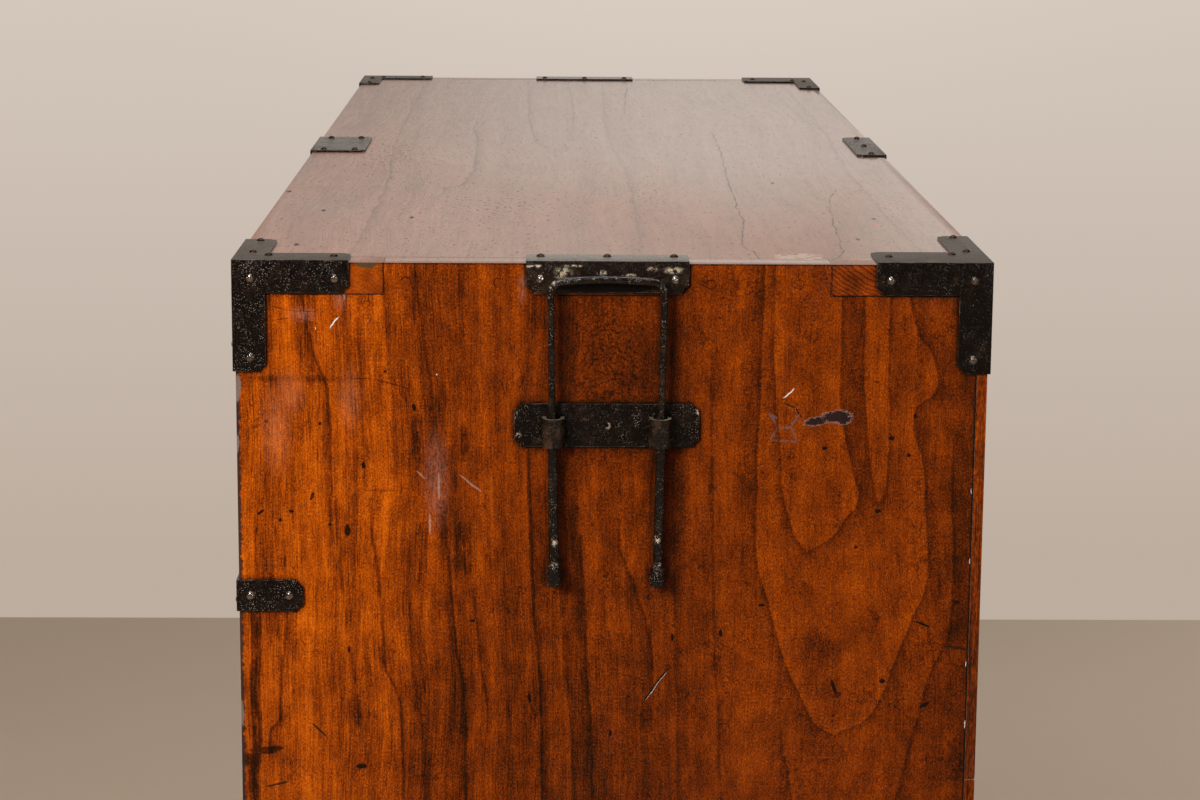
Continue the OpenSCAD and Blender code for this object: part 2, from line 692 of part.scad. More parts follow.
end_board();  // right_end_board
at_left() end_board();  // left_end_board
long_board(chest_h - top_t, chest_h, chest_d, nut_top);  // top_board
long_board(0, bottom_t, board_d, nut);  // bottom_board
back_boards();
for (k = [1 : drawers_n - 1])
    drawer_rail(k);
dust_boards();
corner_iron(1, 1);  // corner_iron_front_right
corner_iron(-1, 1);  // corner_iron_back_right
at_left() corner_iron(1, 1);  // corner_iron_front_left
at_left() corner_iron(-1, 1);  // corner_iron_back_left
for (side = [-1, 1]) {  // base_corner_irons
        corner_iron(side, -1);
        at_left() corner_iron(side, -1);
    }
edge_iron(1, front_iron_l, front_iron_w);  // edge_iron_front
edge_iron(-1, back_iron_l, back_iron_w);  // edge_iron_back
rail_straps();  // rail_straps_right
at_left() rail_straps();  // rail_straps_left
bar_iron();  // bar_iron_right
at_left() bar_iron();  // bar_iron_left
guide_plate();  // guide_plate_right
at_left() guide_plate();  // guide_plate_left
guide_loops();  // guide_loops_right
at_left() guide_loops();  // guide_loops_left
carrying_handle();  // carrying_handle_right
at_left() carrying_handle();  // carrying_handle_left
color(worn_iron) for (n = nails) nail(n);  // iron_nails
wooden_pegs();
for (k = [1 : drawers_n]) {
    drawer_front(k);
    drawer_side(k);
    at_left() drawer_side(k);
    drawer_back(k);
    drawer_bottom(k);
    pull_eyes(k);
    pull(k, -1);
    pull(k, 1);
}
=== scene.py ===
"""Looks of the tansu chest: worn lacquered boards, black pitted ironwork, studio and camera.

The photograph shows the chest's right end, at +X. Its drawers open towards -Y."""

import json
import math

import bmesh
import bpy
from mathutils import Matrix, Vector


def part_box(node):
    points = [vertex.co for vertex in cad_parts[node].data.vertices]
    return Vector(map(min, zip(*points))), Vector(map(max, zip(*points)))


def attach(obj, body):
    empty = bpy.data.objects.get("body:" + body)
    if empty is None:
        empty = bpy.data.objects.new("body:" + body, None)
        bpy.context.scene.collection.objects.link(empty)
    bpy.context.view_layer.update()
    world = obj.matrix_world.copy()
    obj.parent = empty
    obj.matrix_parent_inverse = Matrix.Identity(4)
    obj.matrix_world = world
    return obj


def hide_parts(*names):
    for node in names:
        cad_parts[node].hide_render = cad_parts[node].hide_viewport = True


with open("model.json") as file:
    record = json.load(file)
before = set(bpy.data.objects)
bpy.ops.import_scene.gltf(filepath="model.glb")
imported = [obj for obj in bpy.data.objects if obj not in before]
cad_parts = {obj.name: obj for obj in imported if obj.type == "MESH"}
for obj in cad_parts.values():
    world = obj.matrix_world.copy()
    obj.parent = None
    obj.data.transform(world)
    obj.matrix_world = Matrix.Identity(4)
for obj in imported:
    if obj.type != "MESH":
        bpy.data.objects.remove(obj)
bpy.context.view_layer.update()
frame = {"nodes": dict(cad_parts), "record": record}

MM = 0.001
X_AXIS, Y_AXIS, Z_AXIS = range(3)

# The corner that the marks on the right end and on the top are measured from, in millimetres
END_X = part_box("right_end_board")[1].x / MM
FRONT_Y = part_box("right_end_board")[0].y / MM
TOP_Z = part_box("top_board")[1].z / MM
# Depth of the boards, thickness of the top and width of one of its five fingers, in millimetres
BOARD_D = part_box("right_end_board")[1].y / MM - FRONT_Y
TOP_T = TOP_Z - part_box("top_board")[0].z / MM
FINGER_W = BOARD_D / 5


class Num:
    """A number that flows through a material's nodes, with arithmetic on it."""

    def __init__(self, graph, socket):
        self.graph = graph
        self.socket = socket

    def __add__(self, other):
        return self.graph.math("ADD", self, other)

    def __sub__(self, other):
        return self.graph.math("SUBTRACT", self, other)

    def __rsub__(self, other):
        return self.graph.math("SUBTRACT", other, self)

    def __mul__(self, other):
        return self.graph.math("MULTIPLY", self, other)

    def __truediv__(self, other):
        return self.graph.math("DIVIDE", self, other)

    __radd__ = __add__
    __rmul__ = __mul__


class Graph:
    """A material's node tree. Each call adds nodes and returns what comes out of them."""

    def __init__(self, name):
        self.material = bpy.data.materials.new(name)
        self.material.use_nodes = True
        self.tree = self.material.node_tree
        self.tree.nodes.clear()
        self.output = self.tree.nodes.new("ShaderNodeOutputMaterial")

    def feed(self, socket, value):
        if isinstance(value, Num):
            self.tree.links.new(value.socket, socket)
        elif isinstance(value, bpy.types.NodeSocket):
            self.tree.links.new(value, socket)
        else:
            socket.default_value = value

    def node(self, kind, inputs=(), **settings):
        made = self.tree.nodes.new(kind)
        for key, value in settings.items():
            setattr(made, key, value)
        for key, value in dict(inputs).items():
            self.feed(made.inputs[key], value)
        return made

    def math(self, operation, *terms):
        made = self.tree.nodes.new("ShaderNodeMath")
        made.operation = operation
        for socket, term in zip(made.inputs, terms):
            self.feed(socket, term)
        return Num(self, made.outputs[0])

    def high(self, a, b):
        return self.math("MAXIMUM", a, b)

    def smooth(self, value, start, end, low=0.0, high=1.0):
        """Goes softly from low at start to high at end."""
        made = self.node("ShaderNodeMapRange", {
            "Value": value, "From Min": start, "From Max": end, "To Min": low, "To Max": high},
            interpolation_type="SMOOTHSTEP")
        return Num(self, made.outputs[0])

    def band(self, distance, half, soft):
        """One within half of a line and nothing beyond half + soft, from the distance to the line."""
        return self.smooth(self.math("ABSOLUTE", distance), half + soft, half)

    def vector(self, x, y, z):
        return self.node("ShaderNodeCombineXYZ", {"X": x, "Y": y, "Z": z}).outputs[0]

    def noise(self, x, y, z, detail=2.0, roughness=0.5, distortion=0.0):
        made = self.node("ShaderNodeTexNoise", {
            "Vector": self.vector(x, y, z), "Scale": 1.0, "Detail": detail, "Roughness": roughness,
            "Distortion": distortion})
        return Num(self, made.outputs[0])

    def cells(self, x, y, z):
        """Distance to the nearest of points strewn one to a unit cell."""
        made = self.node("ShaderNodeTexVoronoi", {"Vector": self.vector(x, y, z), "Scale": 1.0})
        return Num(self, made.outputs["Distance"])

    def sphere(self, vector):
        """One at the origin, falling evenly to nothing at a distance of one."""
        made = self.node("ShaderNodeTexGradient", {"Vector": vector}, gradient_type="SPHERICAL")
        return Num(self, made.outputs["Fac"])

    def vmath(self, operation, *terms):
        """Arithmetic with vectors. A number among the terms stands for three equal ones."""
        made = self.tree.nodes.new("ShaderNodeVectorMath")
        made.operation = operation
        for socket, term in zip(made.inputs, terms):
            self.feed(socket, term)
        return made.outputs["Value" if operation == "DOT_PRODUCT" else "Vector"]

    def curves(self, value, lists):
        """Three smooth lines through points (value, result), level beyond them: a vector of their results.

        The value is a number for all three, or a vector with one part for each."""
        at = [v for points in lists for v, r in points]
        first, scale = min(at), 1 / (max(at) - min(at))
        if isinstance(value, Num):
            share = (value - first) * scale
        else:
            share = self.vmath("MULTIPLY_ADD", value, (scale,) * 3, (-first * scale,) * 3)
        made = self.node("ShaderNodeRGBCurve", {"Color": share})
        made.mapping.extend = "HORIZONTAL"
        lowest = [min(r for v, r in points) for points in lists]
        spans = [(max(r for v, r in points) - low) or 1.0 for points, low in zip(lists, lowest)]
        for line, points, low, span in zip(made.mapping.curves, lists, lowest, spans):
            while len(line.points) < len(points):
                line.points.new(0.5, 0.5)
            for point, (v, r) in zip(line.points, sorted(points)):
                point.location = ((v - first) * scale, (r - low) / span)
        made.mapping.update()
        return self.vmath("MULTIPLY_ADD", made.outputs[0], tuple(spans), tuple(lowest))

    def curve(self, value, points):
        """One smooth line through points (value, result), level beyond them."""
        split = self.node("ShaderNodeSeparateXYZ", {0: self.curves(value, [points] * 3)})
        return Num(self, split.outputs[0])

    def ramp(self, value, stops):
        """A colour for each value from 0 to 1. The stops are (value, (red, green, blue))."""
        made = self.node("ShaderNodeValToRGB", {"Fac": value})
        elements = made.color_ramp.elements
        while len(elements) < len(stops):
            elements.new(0.5)
        for element, (place, colour) in zip(elements, stops):
            element.position = place
            element.color = (*colour, 1.0)
        return made.outputs[0]

    def mix(self, share, a, b):
        """Colour a where share is 0 and b where it is 1."""
        made = self.tree.nodes.new("ShaderNodeMix")
        made.data_type = "RGBA"
        for index, value in ((0, share), (6, a), (7, b)):
            if isinstance(value, tuple):
                value = (*value, 1.0)
            self.feed(made.inputs[index], value)
        return made.outputs[2]

    def place(self):
        """Where a point of the surface is at rest, as x, y and z in millimetres."""
        split = self.node("ShaderNodeSeparateXYZ", {0: self.node("ShaderNodeTexCoord").outputs["Object"]})
        return [Num(self, s) * (1 / MM) for s in split.outputs]

    def facing(self):
        """The sizes of the surface normal's three parts."""
        coords = self.node("ShaderNodeTexCoord")
        split = self.node("ShaderNodeSeparateXYZ", {0: coords.outputs["Normal"]})
        return [self.math("ABSOLUTE", Num(self, s)) for s in split.outputs]

    def occluded_shade(self, reach):
        """One where other pieces close by shade the surface, within about reach millimetres: for painted shade
        in corners.
        """
        made = self.node("ShaderNodeAmbientOcclusion", {"Distance": reach * MM}, samples=4)
        return self.smooth(Num(self, made.outputs["AO"]), 0.97, 0.70)

    def bump(self, height, distance, normal=None):
        """Relief of that height, times distance in metres."""
        inputs = {"Strength": 1.0, "Distance": distance, "Height": height}
        if normal is not None:
            inputs["Normal"] = normal
        return self.node("ShaderNodeBump", inputs).outputs[0]

    def surface(self, shader):
        """Ends the material with a shader."""
        self.feed(self.output.inputs["Surface"], shader)
        return self.material

    def solid(self, colour, roughness, normal=None, coat=0.0, coat_roughness=0.2, specular=0.5, metallic=0.0):
        """A shader for an opaque surface."""
        inputs = {"Base Color": colour, "Roughness": roughness, "Metallic": metallic, "Coat Weight": coat,
                  "Coat Roughness": coat_roughness, "Specular IOR Level": specular}
        if normal is not None:
            inputs["Normal"] = normal
        return self.node("ShaderNodeBsdfPrincipled", inputs).outputs[0]

    def finish(self, *look, **settings):
        """Ends the material with an opaque surface."""
        return self.surface(self.solid(*look, **settings))


# Lacquered wood, from the blackest streak to the most worn and sunlit orange
LACQUER = [(0.0, (0.010, 0.0030, 0.0006)), (0.2, (0.060, 0.0090, 0.0007)), (0.4, (0.170, 0.0255, 0.0007)),
           (0.6, (0.340, 0.0590, 0.0010)), (0.8, (0.530, 0.1200, 0.0040)), (1.0, (0.680, 0.2000, 0.0150))]
# The top's darker, redder lacquer
TOP_LACQUER = [(0.0, (0.012, 0.006, 0.004)), (0.3, (0.085, 0.028, 0.014)), (0.6, (0.210, 0.075, 0.038)),
               (1.0, (0.360, 0.140, 0.070))]
# Bare softwood inside, and the same darkened by age behind
BARE = [(0.0, (0.10, 0.055, 0.028)), (0.35, (0.26, 0.155, 0.085)), (0.7, (0.44, 0.29, 0.17)),
        (1.0, (0.58, 0.42, 0.27))]
AGED = [(0.0, (0.045, 0.026, 0.016)), (0.35, (0.13, 0.075, 0.042)), (0.7, (0.24, 0.145, 0.085)),
        (1.0, (0.36, 0.24, 0.15))]


# Streaks in lacquered wood, from broad ones to fibres: length and width in mm, seed, detail, roughness
BROAD = (210, 17, 1.0, 3.0, 0.6)
MIDDLE = (95, 4.2, 5.0, 2.0, 0.6)
THREAD = (34, 1.0, 8.0, 1.0, 0.6)
FIBRE = (15, 0.85, 3.0, 2.0, 0.6)
# Pores: length and width in mm of the cell that each lies in, and its reach as a share of that
PORE = (4.4, 2.4, 0.13)
# Heights in metres: the relief of grain and marks, of cut grain and of iron, and the swell of boards
GRAIN_RELIEF, CUT_RELIEF, IRON_RELIEF, IRON_DENTS = 0.12 * MM, 0.15 * MM, 0.16 * MM, 0.6 * MM
END_SWELL, TOP_SWELL = 1.2 * MM, 1.0 * MM


def streaks(g, along, across, out, length, width, seed, detail, roughness):
    """Noise drawn out along the grain. Its spots are about length by width millimetres."""
    return g.noise(along / length + seed * 3.7, across / width, out / width + seed, detail, roughness)


def pores(g, along, across, out, length, width, share):
    """Short dark pores along the grain: one inside them and nothing between."""
    distance = g.cells(along / length, across / width, out / width)
    return g.smooth(distance, share, share * 0.4)


def cloudy(g, u, v, size):
    """Noise with soft spots of about that size."""
    return g.noise(u / size, v / size, 3.0)


def spots(*ellipses):
    """Marks for Sheet.marks: ellipses as (u, v, half width, half length), and their turn if they have one."""
    return [((u, v), half_u, half_v, sum(turn)) for u, v, half_u, half_v, *turn in ellipses]


def stroke(start, end, half):
    """A mark for Sheet.marks: a scratch, thin at both ends."""
    run_u, run_v = end[0] - start[0], end[1] - start[1]
    middle = ((start[0] + end[0]) / 2, (start[1] + end[1]) / 2)
    return middle, math.hypot(run_u, run_v) * 0.56, half, math.atan2(run_v, run_u)


def strokes(points, half):
    """Marks for Sheet.marks: a crooked scratch through points."""
    return [stroke(p, q, half) for p, q in zip(points, points[1:])]


# Tone that a growth line takes away, by the distance from it in mm: crisp on one side, fading on the other
VEIN_SHAPE = [(-1.4, 0.0), (-0.6, 0.7), (0.1, 1.0), (0.9, 0.60), (3.0, 0.26), (8.0, 0.0)]
STAIN_SHAPE = [(-3.2, 0.0), (-2.0, 0.8), (0.0, 1.0), (2.0, 0.8), (3.2, 0.0)]
CRACK_SHAPE = [(-0.5, 0.0), (-0.1, 1.0), (0.1, 1.0), (0.5, 0.0)]
# Tone that the edge of a tongue takes away, by the distance inside it in mm
TONGUE_SHAPE = [(-18.0, 0.0), (-6.0, 0.05), (-1.8, 0.10), (-0.5, 0.14), (0.9, -0.04), (5.0, -0.03),
                (16.0, 0.0)]
# How far beyond its tip the sides of a tongue cross over, in mm
TONGUE_CLOSE = 40
# How far beyond its last point a growth line fades out, in mm
VEIN_FADE = 14.0


class Sheet:
    """A board's face as a sheet to draw on, in mm: u runs across the grain and v along it."""

    def __init__(self, g, u, v):
        self.g = g
        ragged = g.noise(u / 1.5, v / 1.5, 0.5, 2.0) - 0.5
        wander = g.noise(u / 9.0, v / 16.0, 7.5, 1.0) - 0.5
        self.u = u + ragged * 0.8 + wander * 1.8
        self.v = v + ragged * 0.8
        self.point = g.vector(self.u, self.v, 0.0)
        self.broken = g.smooth(g.noise(u / 2.0, v / 7.0, 3.3, 2.0), 0.28, 0.55)

    def marks(self, ellipses, edge=0.3):
        """One inside each mark and nothing beyond. The edge is the share of the mark over which it fades."""
        found = None
        for centre, half_u, half_v, turn in ellipses:
            local = self.g.node("ShaderNodeMapping", {
                "Vector": self.point, "Location": (*centre, 0.0), "Rotation": (0.0, 0.0, turn),
                "Scale": (half_u, half_v, 1.0)}, vector_type="TEXTURE").outputs[0]
            near = self.g.sphere(local)
            found = near if found is None else self.g.high(found, near)
        return self.g.smooth(found, 0.0, edge)

    def veins(self, lines, fade=VEIN_FADE, profile=VEIN_SHAPE):
        """Tone that growth lines take away.

        A line is its points (u, v), the side that it fades to, and its depth."""
        found = None
        for i in range(0, len(lines), 3):
            group = lines[i:i + 3]
            group += [(group[0][0], 1, 0.0)] * (3 - len(group))
            where = self.g.curves(self.v, [[(v, u) for u, v in points] for points, side, depth in group])
            reach = self.g.curves(self.v, [[(points[0][1] - fade, 0.0), (points[0][1], depth),
                                            (points[-1][1], depth), (points[-1][1] + fade, 0.0)]
                                           for points, side, depth in group])
            gap = self.g.vmath("MULTIPLY", self.g.vmath("SUBTRACT", self.u, where),
                               tuple(side for points, side, depth in group))
            shape = self.g.curves(gap, [profile] * 3)
            part = Num(self.g, self.g.vmath("DOT_PRODUCT", shape, reach))
            found = part if found is None else found + part
        return found * (self.broken * 0.45 + 0.55)

    def tongues(self, pairs):
        """Tone that three nested tongues take away. Each is the points (u, v) of its two sides, tip last."""
        def side(points, beyond):
            tip_u, tip_v = points[-1]
            return [(v, u) for u, v in points] + [(tip_v + TONGUE_CLOSE, tip_u + beyond)]
        left = self.g.curves(self.v, [side(pair[0], TONGUE_CLOSE) for pair in pairs])
        right = self.g.curves(self.v, [side(pair[1], -TONGUE_CLOSE) for pair in pairs])
        inside = self.g.vmath("MINIMUM", self.g.vmath("SUBTRACT", self.u, left),
                              self.g.vmath("SUBTRACT", right, self.u))
        shape = self.g.curves(inside, [TONGUE_SHAPE] * 3)
        return Num(self.g, self.g.vmath("DOT_PRODUCT", shape, (1.0, 1.0, 1.0)))


# Growth rings of the right end board: the sides of nested tongues, as (across from the front edge, down)
TONGUES = [
    ([(297, 0), (296, 60), (294.5, 130), (295, 168), (303, 199), (310, 225), (320, 248), (330.5, 268),
      (342, 275)],
     [(377, 0), (379.5, 21), (384, 38), (394, 55), (396, 70), (384, 83), (383.5, 96), (388, 110), (392, 151),
      (393, 183), (384.5, 206), (374, 236), (363, 262), (342, 275)]),
    ([(303, 60), (306, 90), (308, 110), (309, 128), (314, 149), (324, 166)],
     [(341, 60), (342, 85), (349, 119), (352.5, 134), (345, 146), (341, 154), (324, 166)]),
    ([(354, 60), (357, 100), (361, 128), (364, 137)], [(368, 60), (369, 100), (368, 128), (364, 137)]),
]
# Growth lines down the board: points, the side that each fades to, depth of tone
END_VEINS = [
    ([(37.4, 17), (40.6, 37), (44.3, 54), (49, 66), (52, 78), (52.2, 159)], -1, 0.24),
    ([(67.9, 45), (70.5, 68), (71.2, 117)], 1, 0.17),
    ([(55.7, 147), (59.2, 189), (60.8, 202)], 1, 0.20),
    ([(75.5, 154), (80.8, 200), (82.3, 229), (87.4, 245), (91.9, 261), (93.3, 330), (94, 420), (97, 620),
      (96, 868)], 1, 0.24),
    ([(95.7, 170), (97, 205), (99.4, 242), (104, 275), (106, 330)], 1, 0.13),
    ([(117.5, 150), (124.1, 226), (128.1, 253), (129.1, 314), (131, 430), (129, 600), (134, 868)], -1, 0.22),
    ([(134.5, 199), (138, 230), (141.9, 258)], 1, 0.22),
    ([(164.7, 110), (168.2, 199), (173, 274), (173.1, 330), (171, 500), (178, 868)], 1, 0.24),
    ([(195, 170), (196.1, 189), (198.8, 247), (201.3, 274), (203, 400), (200, 610), (207, 868)], -1, 0.24),
    ([(216.6, 165), (225.9, 189), (232.4, 210), (235.4, 226), (236, 260)], -1, 0.20),
    ([(246, 100), (249, 200), (252, 330), (249, 520), (256, 868)], 1, 0.12),
    ([(268, 60), (270, 170), (276, 300), (281, 520), (276, 868)], 1, 0.14),
    ([(406, 120), (408, 205), (403, 223), (396.7, 238), (392, 257), (384, 290), (372, 340)], 1, 0.16),
    ([(311, 285), (318, 330), (322, 420), (316, 560), (325, 868)], -1, 0.16),
    ([(84, 20), (87, 60), (90, 110)], 1, 0.16),
    ([(27, 202), (25.8, 221), (23.2, 240), (22.9, 262), (18.2, 270), (16.7, 275)], 1, 0.28),
    ([(184, 190), (187, 240), (191, 290), (193, 400)], 1, 0.16),
    ([(102, 16), (108, 60), (115, 110)], -1, 0.16),
]
# Arches of grain behind the carrying handle: middle, how fast their sides drop, spacing, where they lie
ARCH_MIDDLE, ARCH_DROP, ARCH_STEP = 211.0, 0.040, 5.5
ARCH_FIELD = spots((211, 62, 46, 66))
# Soft dark streaks, strong and weak: centre, half width, half length
STRONG_STREAKS = spots((101.4, 101, 5, 24), (128, 166, 9, 24), (67, 263, 3.4, 10), (128.4, 101, 3.4, 12),
                       (125, 162, 4, 28))
WEAK_STREAKS = spots((113.8, 85, 6, 20), (106, 165, 4, 26), (121, 132, 16, 46), (230, 60, 26, 60),
                     (334, 224, 22, 16), (62, 262, 9, 18), (84, 36, 8, 26), (350, 215, 12, 28, 0.7),
                     (118, 250, 18, 60), (413, 150, 12, 200), (2, 270, 12, 80), (2, 110, 7, 60))
# Painted shadow of the handle's legs on the wood, beside each leg
PAINTED_LEG_SHADOW = spots((249, 48, 12, 66), (187, 52, 9, 60), (251, 140, 7, 70), (190, 145, 6, 60))
# Bright worn patches: centre, half width, half length
WORN = spots((78, 168, 12, 30), (25, 100, 16, 40), (45, 120, 14, 60), (345, 190, 26, 34),
             (322, 110, 14, 40), (30, 60, 18, 20), (215, 60, 18, 26), (70, 205, 16, 30))
# Black pits and worm holes: centre, half width, half length
PITS = spots((61.9, 153.9, 1.7, 4.2), (71.3, 116.1, 1.2, 2.2), (42.2, 134.2, 0.9, 3.2, 0.4),
             (13.2, 143.6, 3.0, 0.8, -0.7), (16.8, 90.9, 1.3, 1.0), (100.3, 82.5, 1.3, 2.4),
             (69.2, 293.9, 3.8, 1.7), (62.5, 224.0, 0.9, 2.2), (275.4, 214.0, 1.0, 2.6),
             (298.6, 197.3, 2.3, 1.0), (410.4, 195.3, 2.0, 1.2), (370.7, 99.5, 1.8, 1.3),
             (363.8, 141.9, 2.0, 1.5), (332.8, 105.4, 1.8, 1.3), (381.2, 109.3, 1.2, 1.2),
             (368.6, 242.3, 1.9, 1.5), (391.3, 208.3, 5.4, 0.8, 0.35), (393.8, 256.6, 3.2, 1.4, -0.6),
             (166.0, 252.9, 1.1, 3.6), (383.9, 86.7, 0.9, 1.8), (84.5, 62.0, 1.0, 1.0),
             (47.0, 92.0, 0.8, 1.2), (341.0, 246.0, 1.2, 5.0, -0.3), (133.0, 207.0, 1.7, 0.9),
             (30.0, 143.0, 1.2, 1.1), (24.0, 148.0, 1.0, 1.4), (52.0, 150.5, 1.1, 0.9),
             (247.5, 216.4, 0.9, 2.6), (212.2, 273.8, 1.0, 2.2), (352.0, 163.0, 1.2, 1.0))
# Dark scratches, the marks that old fittings left, and a black gouge
CUTS = (strokes([(309.6, 79.5), (316, 82), (319.5, 88)], 0.5)
        + [stroke((245.8, 234.2), (230.5, 256.4), 1.0), stroke((404.3, 221.4), (422.8, 224.3), 0.8)]
        + [stroke((41.2, 268.1), (49.2, 276.5), 0.7), stroke((13.7, 306.6), (27, 303), 0.7)])
FITTING_MARKS = (strokes([(300.5, 84.5), (305.5, 92.5), (301.5, 101)], 0.8)
                 + strokes([(318.6, 85.0), (313.5, 93), (317.5, 101.6)], 0.8)
                 + [stroke((304, 93), (315, 93.5), 0.9), stroke((301, 100.8), (318, 101.4), 0.7),
                    stroke((301, 86), (306, 88), 0.9)])
GOUGE = [stroke((319, 91), (336, 88.5), 3.6), stroke((328, 88), (350, 86), 5.2),
         stroke((338, 90), (349, 87.5), 4.0)]
# Where the line across the front corner is hatched, a row of dots, and fine lines
HATCHED = spots((22, 66.2, 24, 3.0), (46, 66.4, 24, 3.0), (82, 130.6, 12, 1.3))
FINE_LINES = (strokes([(20.6, 25), (30, 27.5), (47, 28)], 0.4)
              + strokes([(22, 33), (33, 31.5), (46, 34.8)], 0.4)
              + strokes([(64, 66), (77, 66), (98, 72)], 0.5))
# Dark stain down the front edge, below the strap
STAIN = [([(7.4, 196), (9.3, 226), (8.2, 244), (9.2, 280), (6.8, 300), (7.6, 350), (5, 430), (8, 600),
           (6, 868)], 1, 0.34)]
STAIN_SPOTS = spots((13, 284.5, 10, 3.0), (20, 283, 5, 2.0), (4, 290, 6, 5))
# Scuffed lacquer, hazy lacquer that is partly a painted sheen, and pale scratches and flecks
SCUFFS = spots((112.5, 124, 10, 38), (38, 29.5, 11, 6), (59, 21, 5, 9), (161, 14, 3, 13))
HAZE_AND_SHEEN = spots((22, 95, 12, 34), (64, 78, 9, 24), (30, 75, 12, 18))
PALE = [stroke((58, 30.7), (53.2, 37.3), 0.5), stroke((315.1, 70.8), (309, 76.6), 0.45),
        stroke((244.5, 237), (232.5, 254), 0.13)]
PALE += spots((45.5, 37.5, 0.3, 0.8), (113.3, 63.6, 0.4, 0.5), (416.8, 232, 0.25, 2), (417.2, 268, 0.3, 3),
              (416.6, 130, 0.2, 2), (417, 171, 0.25, 2))
FAINT_PALE = [stroke((125.5, 121.1), (138.5, 131.5), 0.7), stroke((101.2, 118.9), (106.3, 124.1), 0.6),
              stroke((61, 17), (62, 21), 0.5)]
FAINT_PALE += spots((46.5, 43.5, 0.4, 0.7), (74.5, 33, 0.4, 0.9), (114, 128, 0.8, 9), (109, 150, 0.7, 7))
# Places where the front edge lost its lacquer
CHIPS = spots((0.6, 72, 2.4, 9), (0.4, 104, 1.6, 6), (0.5, 56, 1.4, 3), (0.4, 262, 1.4, 9))
# Chip at the top of the front finger
FINGER_CHIP = spots((74, 0, 11, 5.2))
# Centres and radius of the rings round the pegs that hold the top
PEG_CENTRES = [(96, 10.7), (147.6, 11.1), (266.8, 11.7), (316.8, 11.5)]
PEG_RING = 3.4
# Tone by the distance from the front edge: partly the wood's own, partly painted light, brighter towards the
# front edge on the key lamp's side
TONE_AND_LIGHT_ACROSS = [(0, 0.0), (20, 0.04), (55, 0.02), (92, -0.05), (132, -0.13), (166, -0.15), (211, -0.20),
               (261, -0.17), (289, -0.09), (328, -0.13), (367, -0.08), (400, -0.15), (424, -0.22)]
# How strong the upright streaks are, by the distance from the front edge
STREAKS_ACROSS = [(0, 1.15), (80, 1.2), (125, 0.9), (200, 0.85), (265, 0.5), (424, 0.5)]
# The left end shows the lower, plainer part of a board that is turned round: how far down, and where its front
# edge lies behind, in mm
LEFT_END_SHIFT, LEFT_END_BACK = 260.0, 424.0

# Colours of the wear on the end, one of them partly a painted sheen
HAZE_AND_SHEEN_COLOUR = (0.48, 0.190, 0.090)
SCUFF_COLOUR = (0.25, 0.115, 0.080)
WORN_EDGE_COLOUR = (0.016, 0.011, 0.009)
CUT_COLOUR = (0.030, 0.012, 0.006)
FITTING_COLOUR = (0.105, 0.062, 0.058)
GOUGE_COLOUR = (0.012, 0.008, 0.008)
GOUGE_RIM_COLOUR = (0.20, 0.15, 0.13)
CHIP_COLOUR = (0.13, 0.095, 0.075)
FINGER_CHIP_COLOUR = (0.048, 0.034, 0.016)
PALE_COLOUR = (0.60, 0.55, 0.50)

# Tone that dark joints, painted shade under the top's rim and painted shade in corners take away, and how far
# the corner shade reaches in mm
JOINT_SHADE, RIM_SHADE, CORNER_SHADE, CORNER_REACH = 0.24, 0.25, 0.22, 6.0


def joint_lines(g, across, down):
    """Tone that the dark lines take away between the top board's fingers and an end board's."""
    upright = g.band(g.math("PINGPONG", across, FINGER_W / 2), 0.2, 0.5) * g.smooth(down, TOP_T + 0.6, TOP_T)
    under_top = g.smooth(g.math("SINE", across * (math.pi / FINGER_W)), 0.0, 0.01)
    return g.high(upright, g.band(down - TOP_T, 0.2, 0.5) * under_top) * JOINT_SHADE


def rim_and_corner_shade(g, down):
    """Tone that painted shade takes away: under the top's rim, and in corners beside other pieces."""
    return g.smooth(down, 1.4, 0.3) * RIM_SHADE + g.occluded_shade(CORNER_REACH) * CORNER_SHADE


def wood_face(g, u, v, w, streaky=1.0):
    """Tone and relief of a lacquered board: u runs across the grain, v along it and w into the board."""
    broad = streaks(g, v, u, w, *BROAD) - 0.5
    middle = streaks(g, v, u, w, *MIDDLE) - 0.5
    thread = streaks(g, v, u, w, *THREAD) - 0.5
    cloud = g.noise(u / 12, v / 20, 4.0 + w / 50, 4.0, 0.62) - 0.5
    grit = g.noise(u / 0.75, v / 1.25, 9.0 + w, 1.0, 0.6) - 0.5
    curls = g.noise(u / 1.7, v / 4.2, 12.0 + w, 2.0, 0.6, 0.6) - 0.5
    flecks = g.smooth(curls + cloud * 0.25, 0.20, 0.32)
    fibres = g.smooth(streaks(g, v, u, w, *FIBRE) + broad * -0.25, 0.54, 0.70)
    holes = pores(g, v + 40, u, w, *PORE)
    tone = (broad * 0.42 + middle * 0.30 + thread * 0.32 - fibres * 0.15) * streaky
    tone = tone + cloud * 0.44 + grit * 0.62 + curls * 0.26 - flecks * 0.20 - holes * 0.30
    return tone, grit * 0.4 + thread * 0.4 - fibres * 0.4 - flecks * 0.6 - holes * 1.2


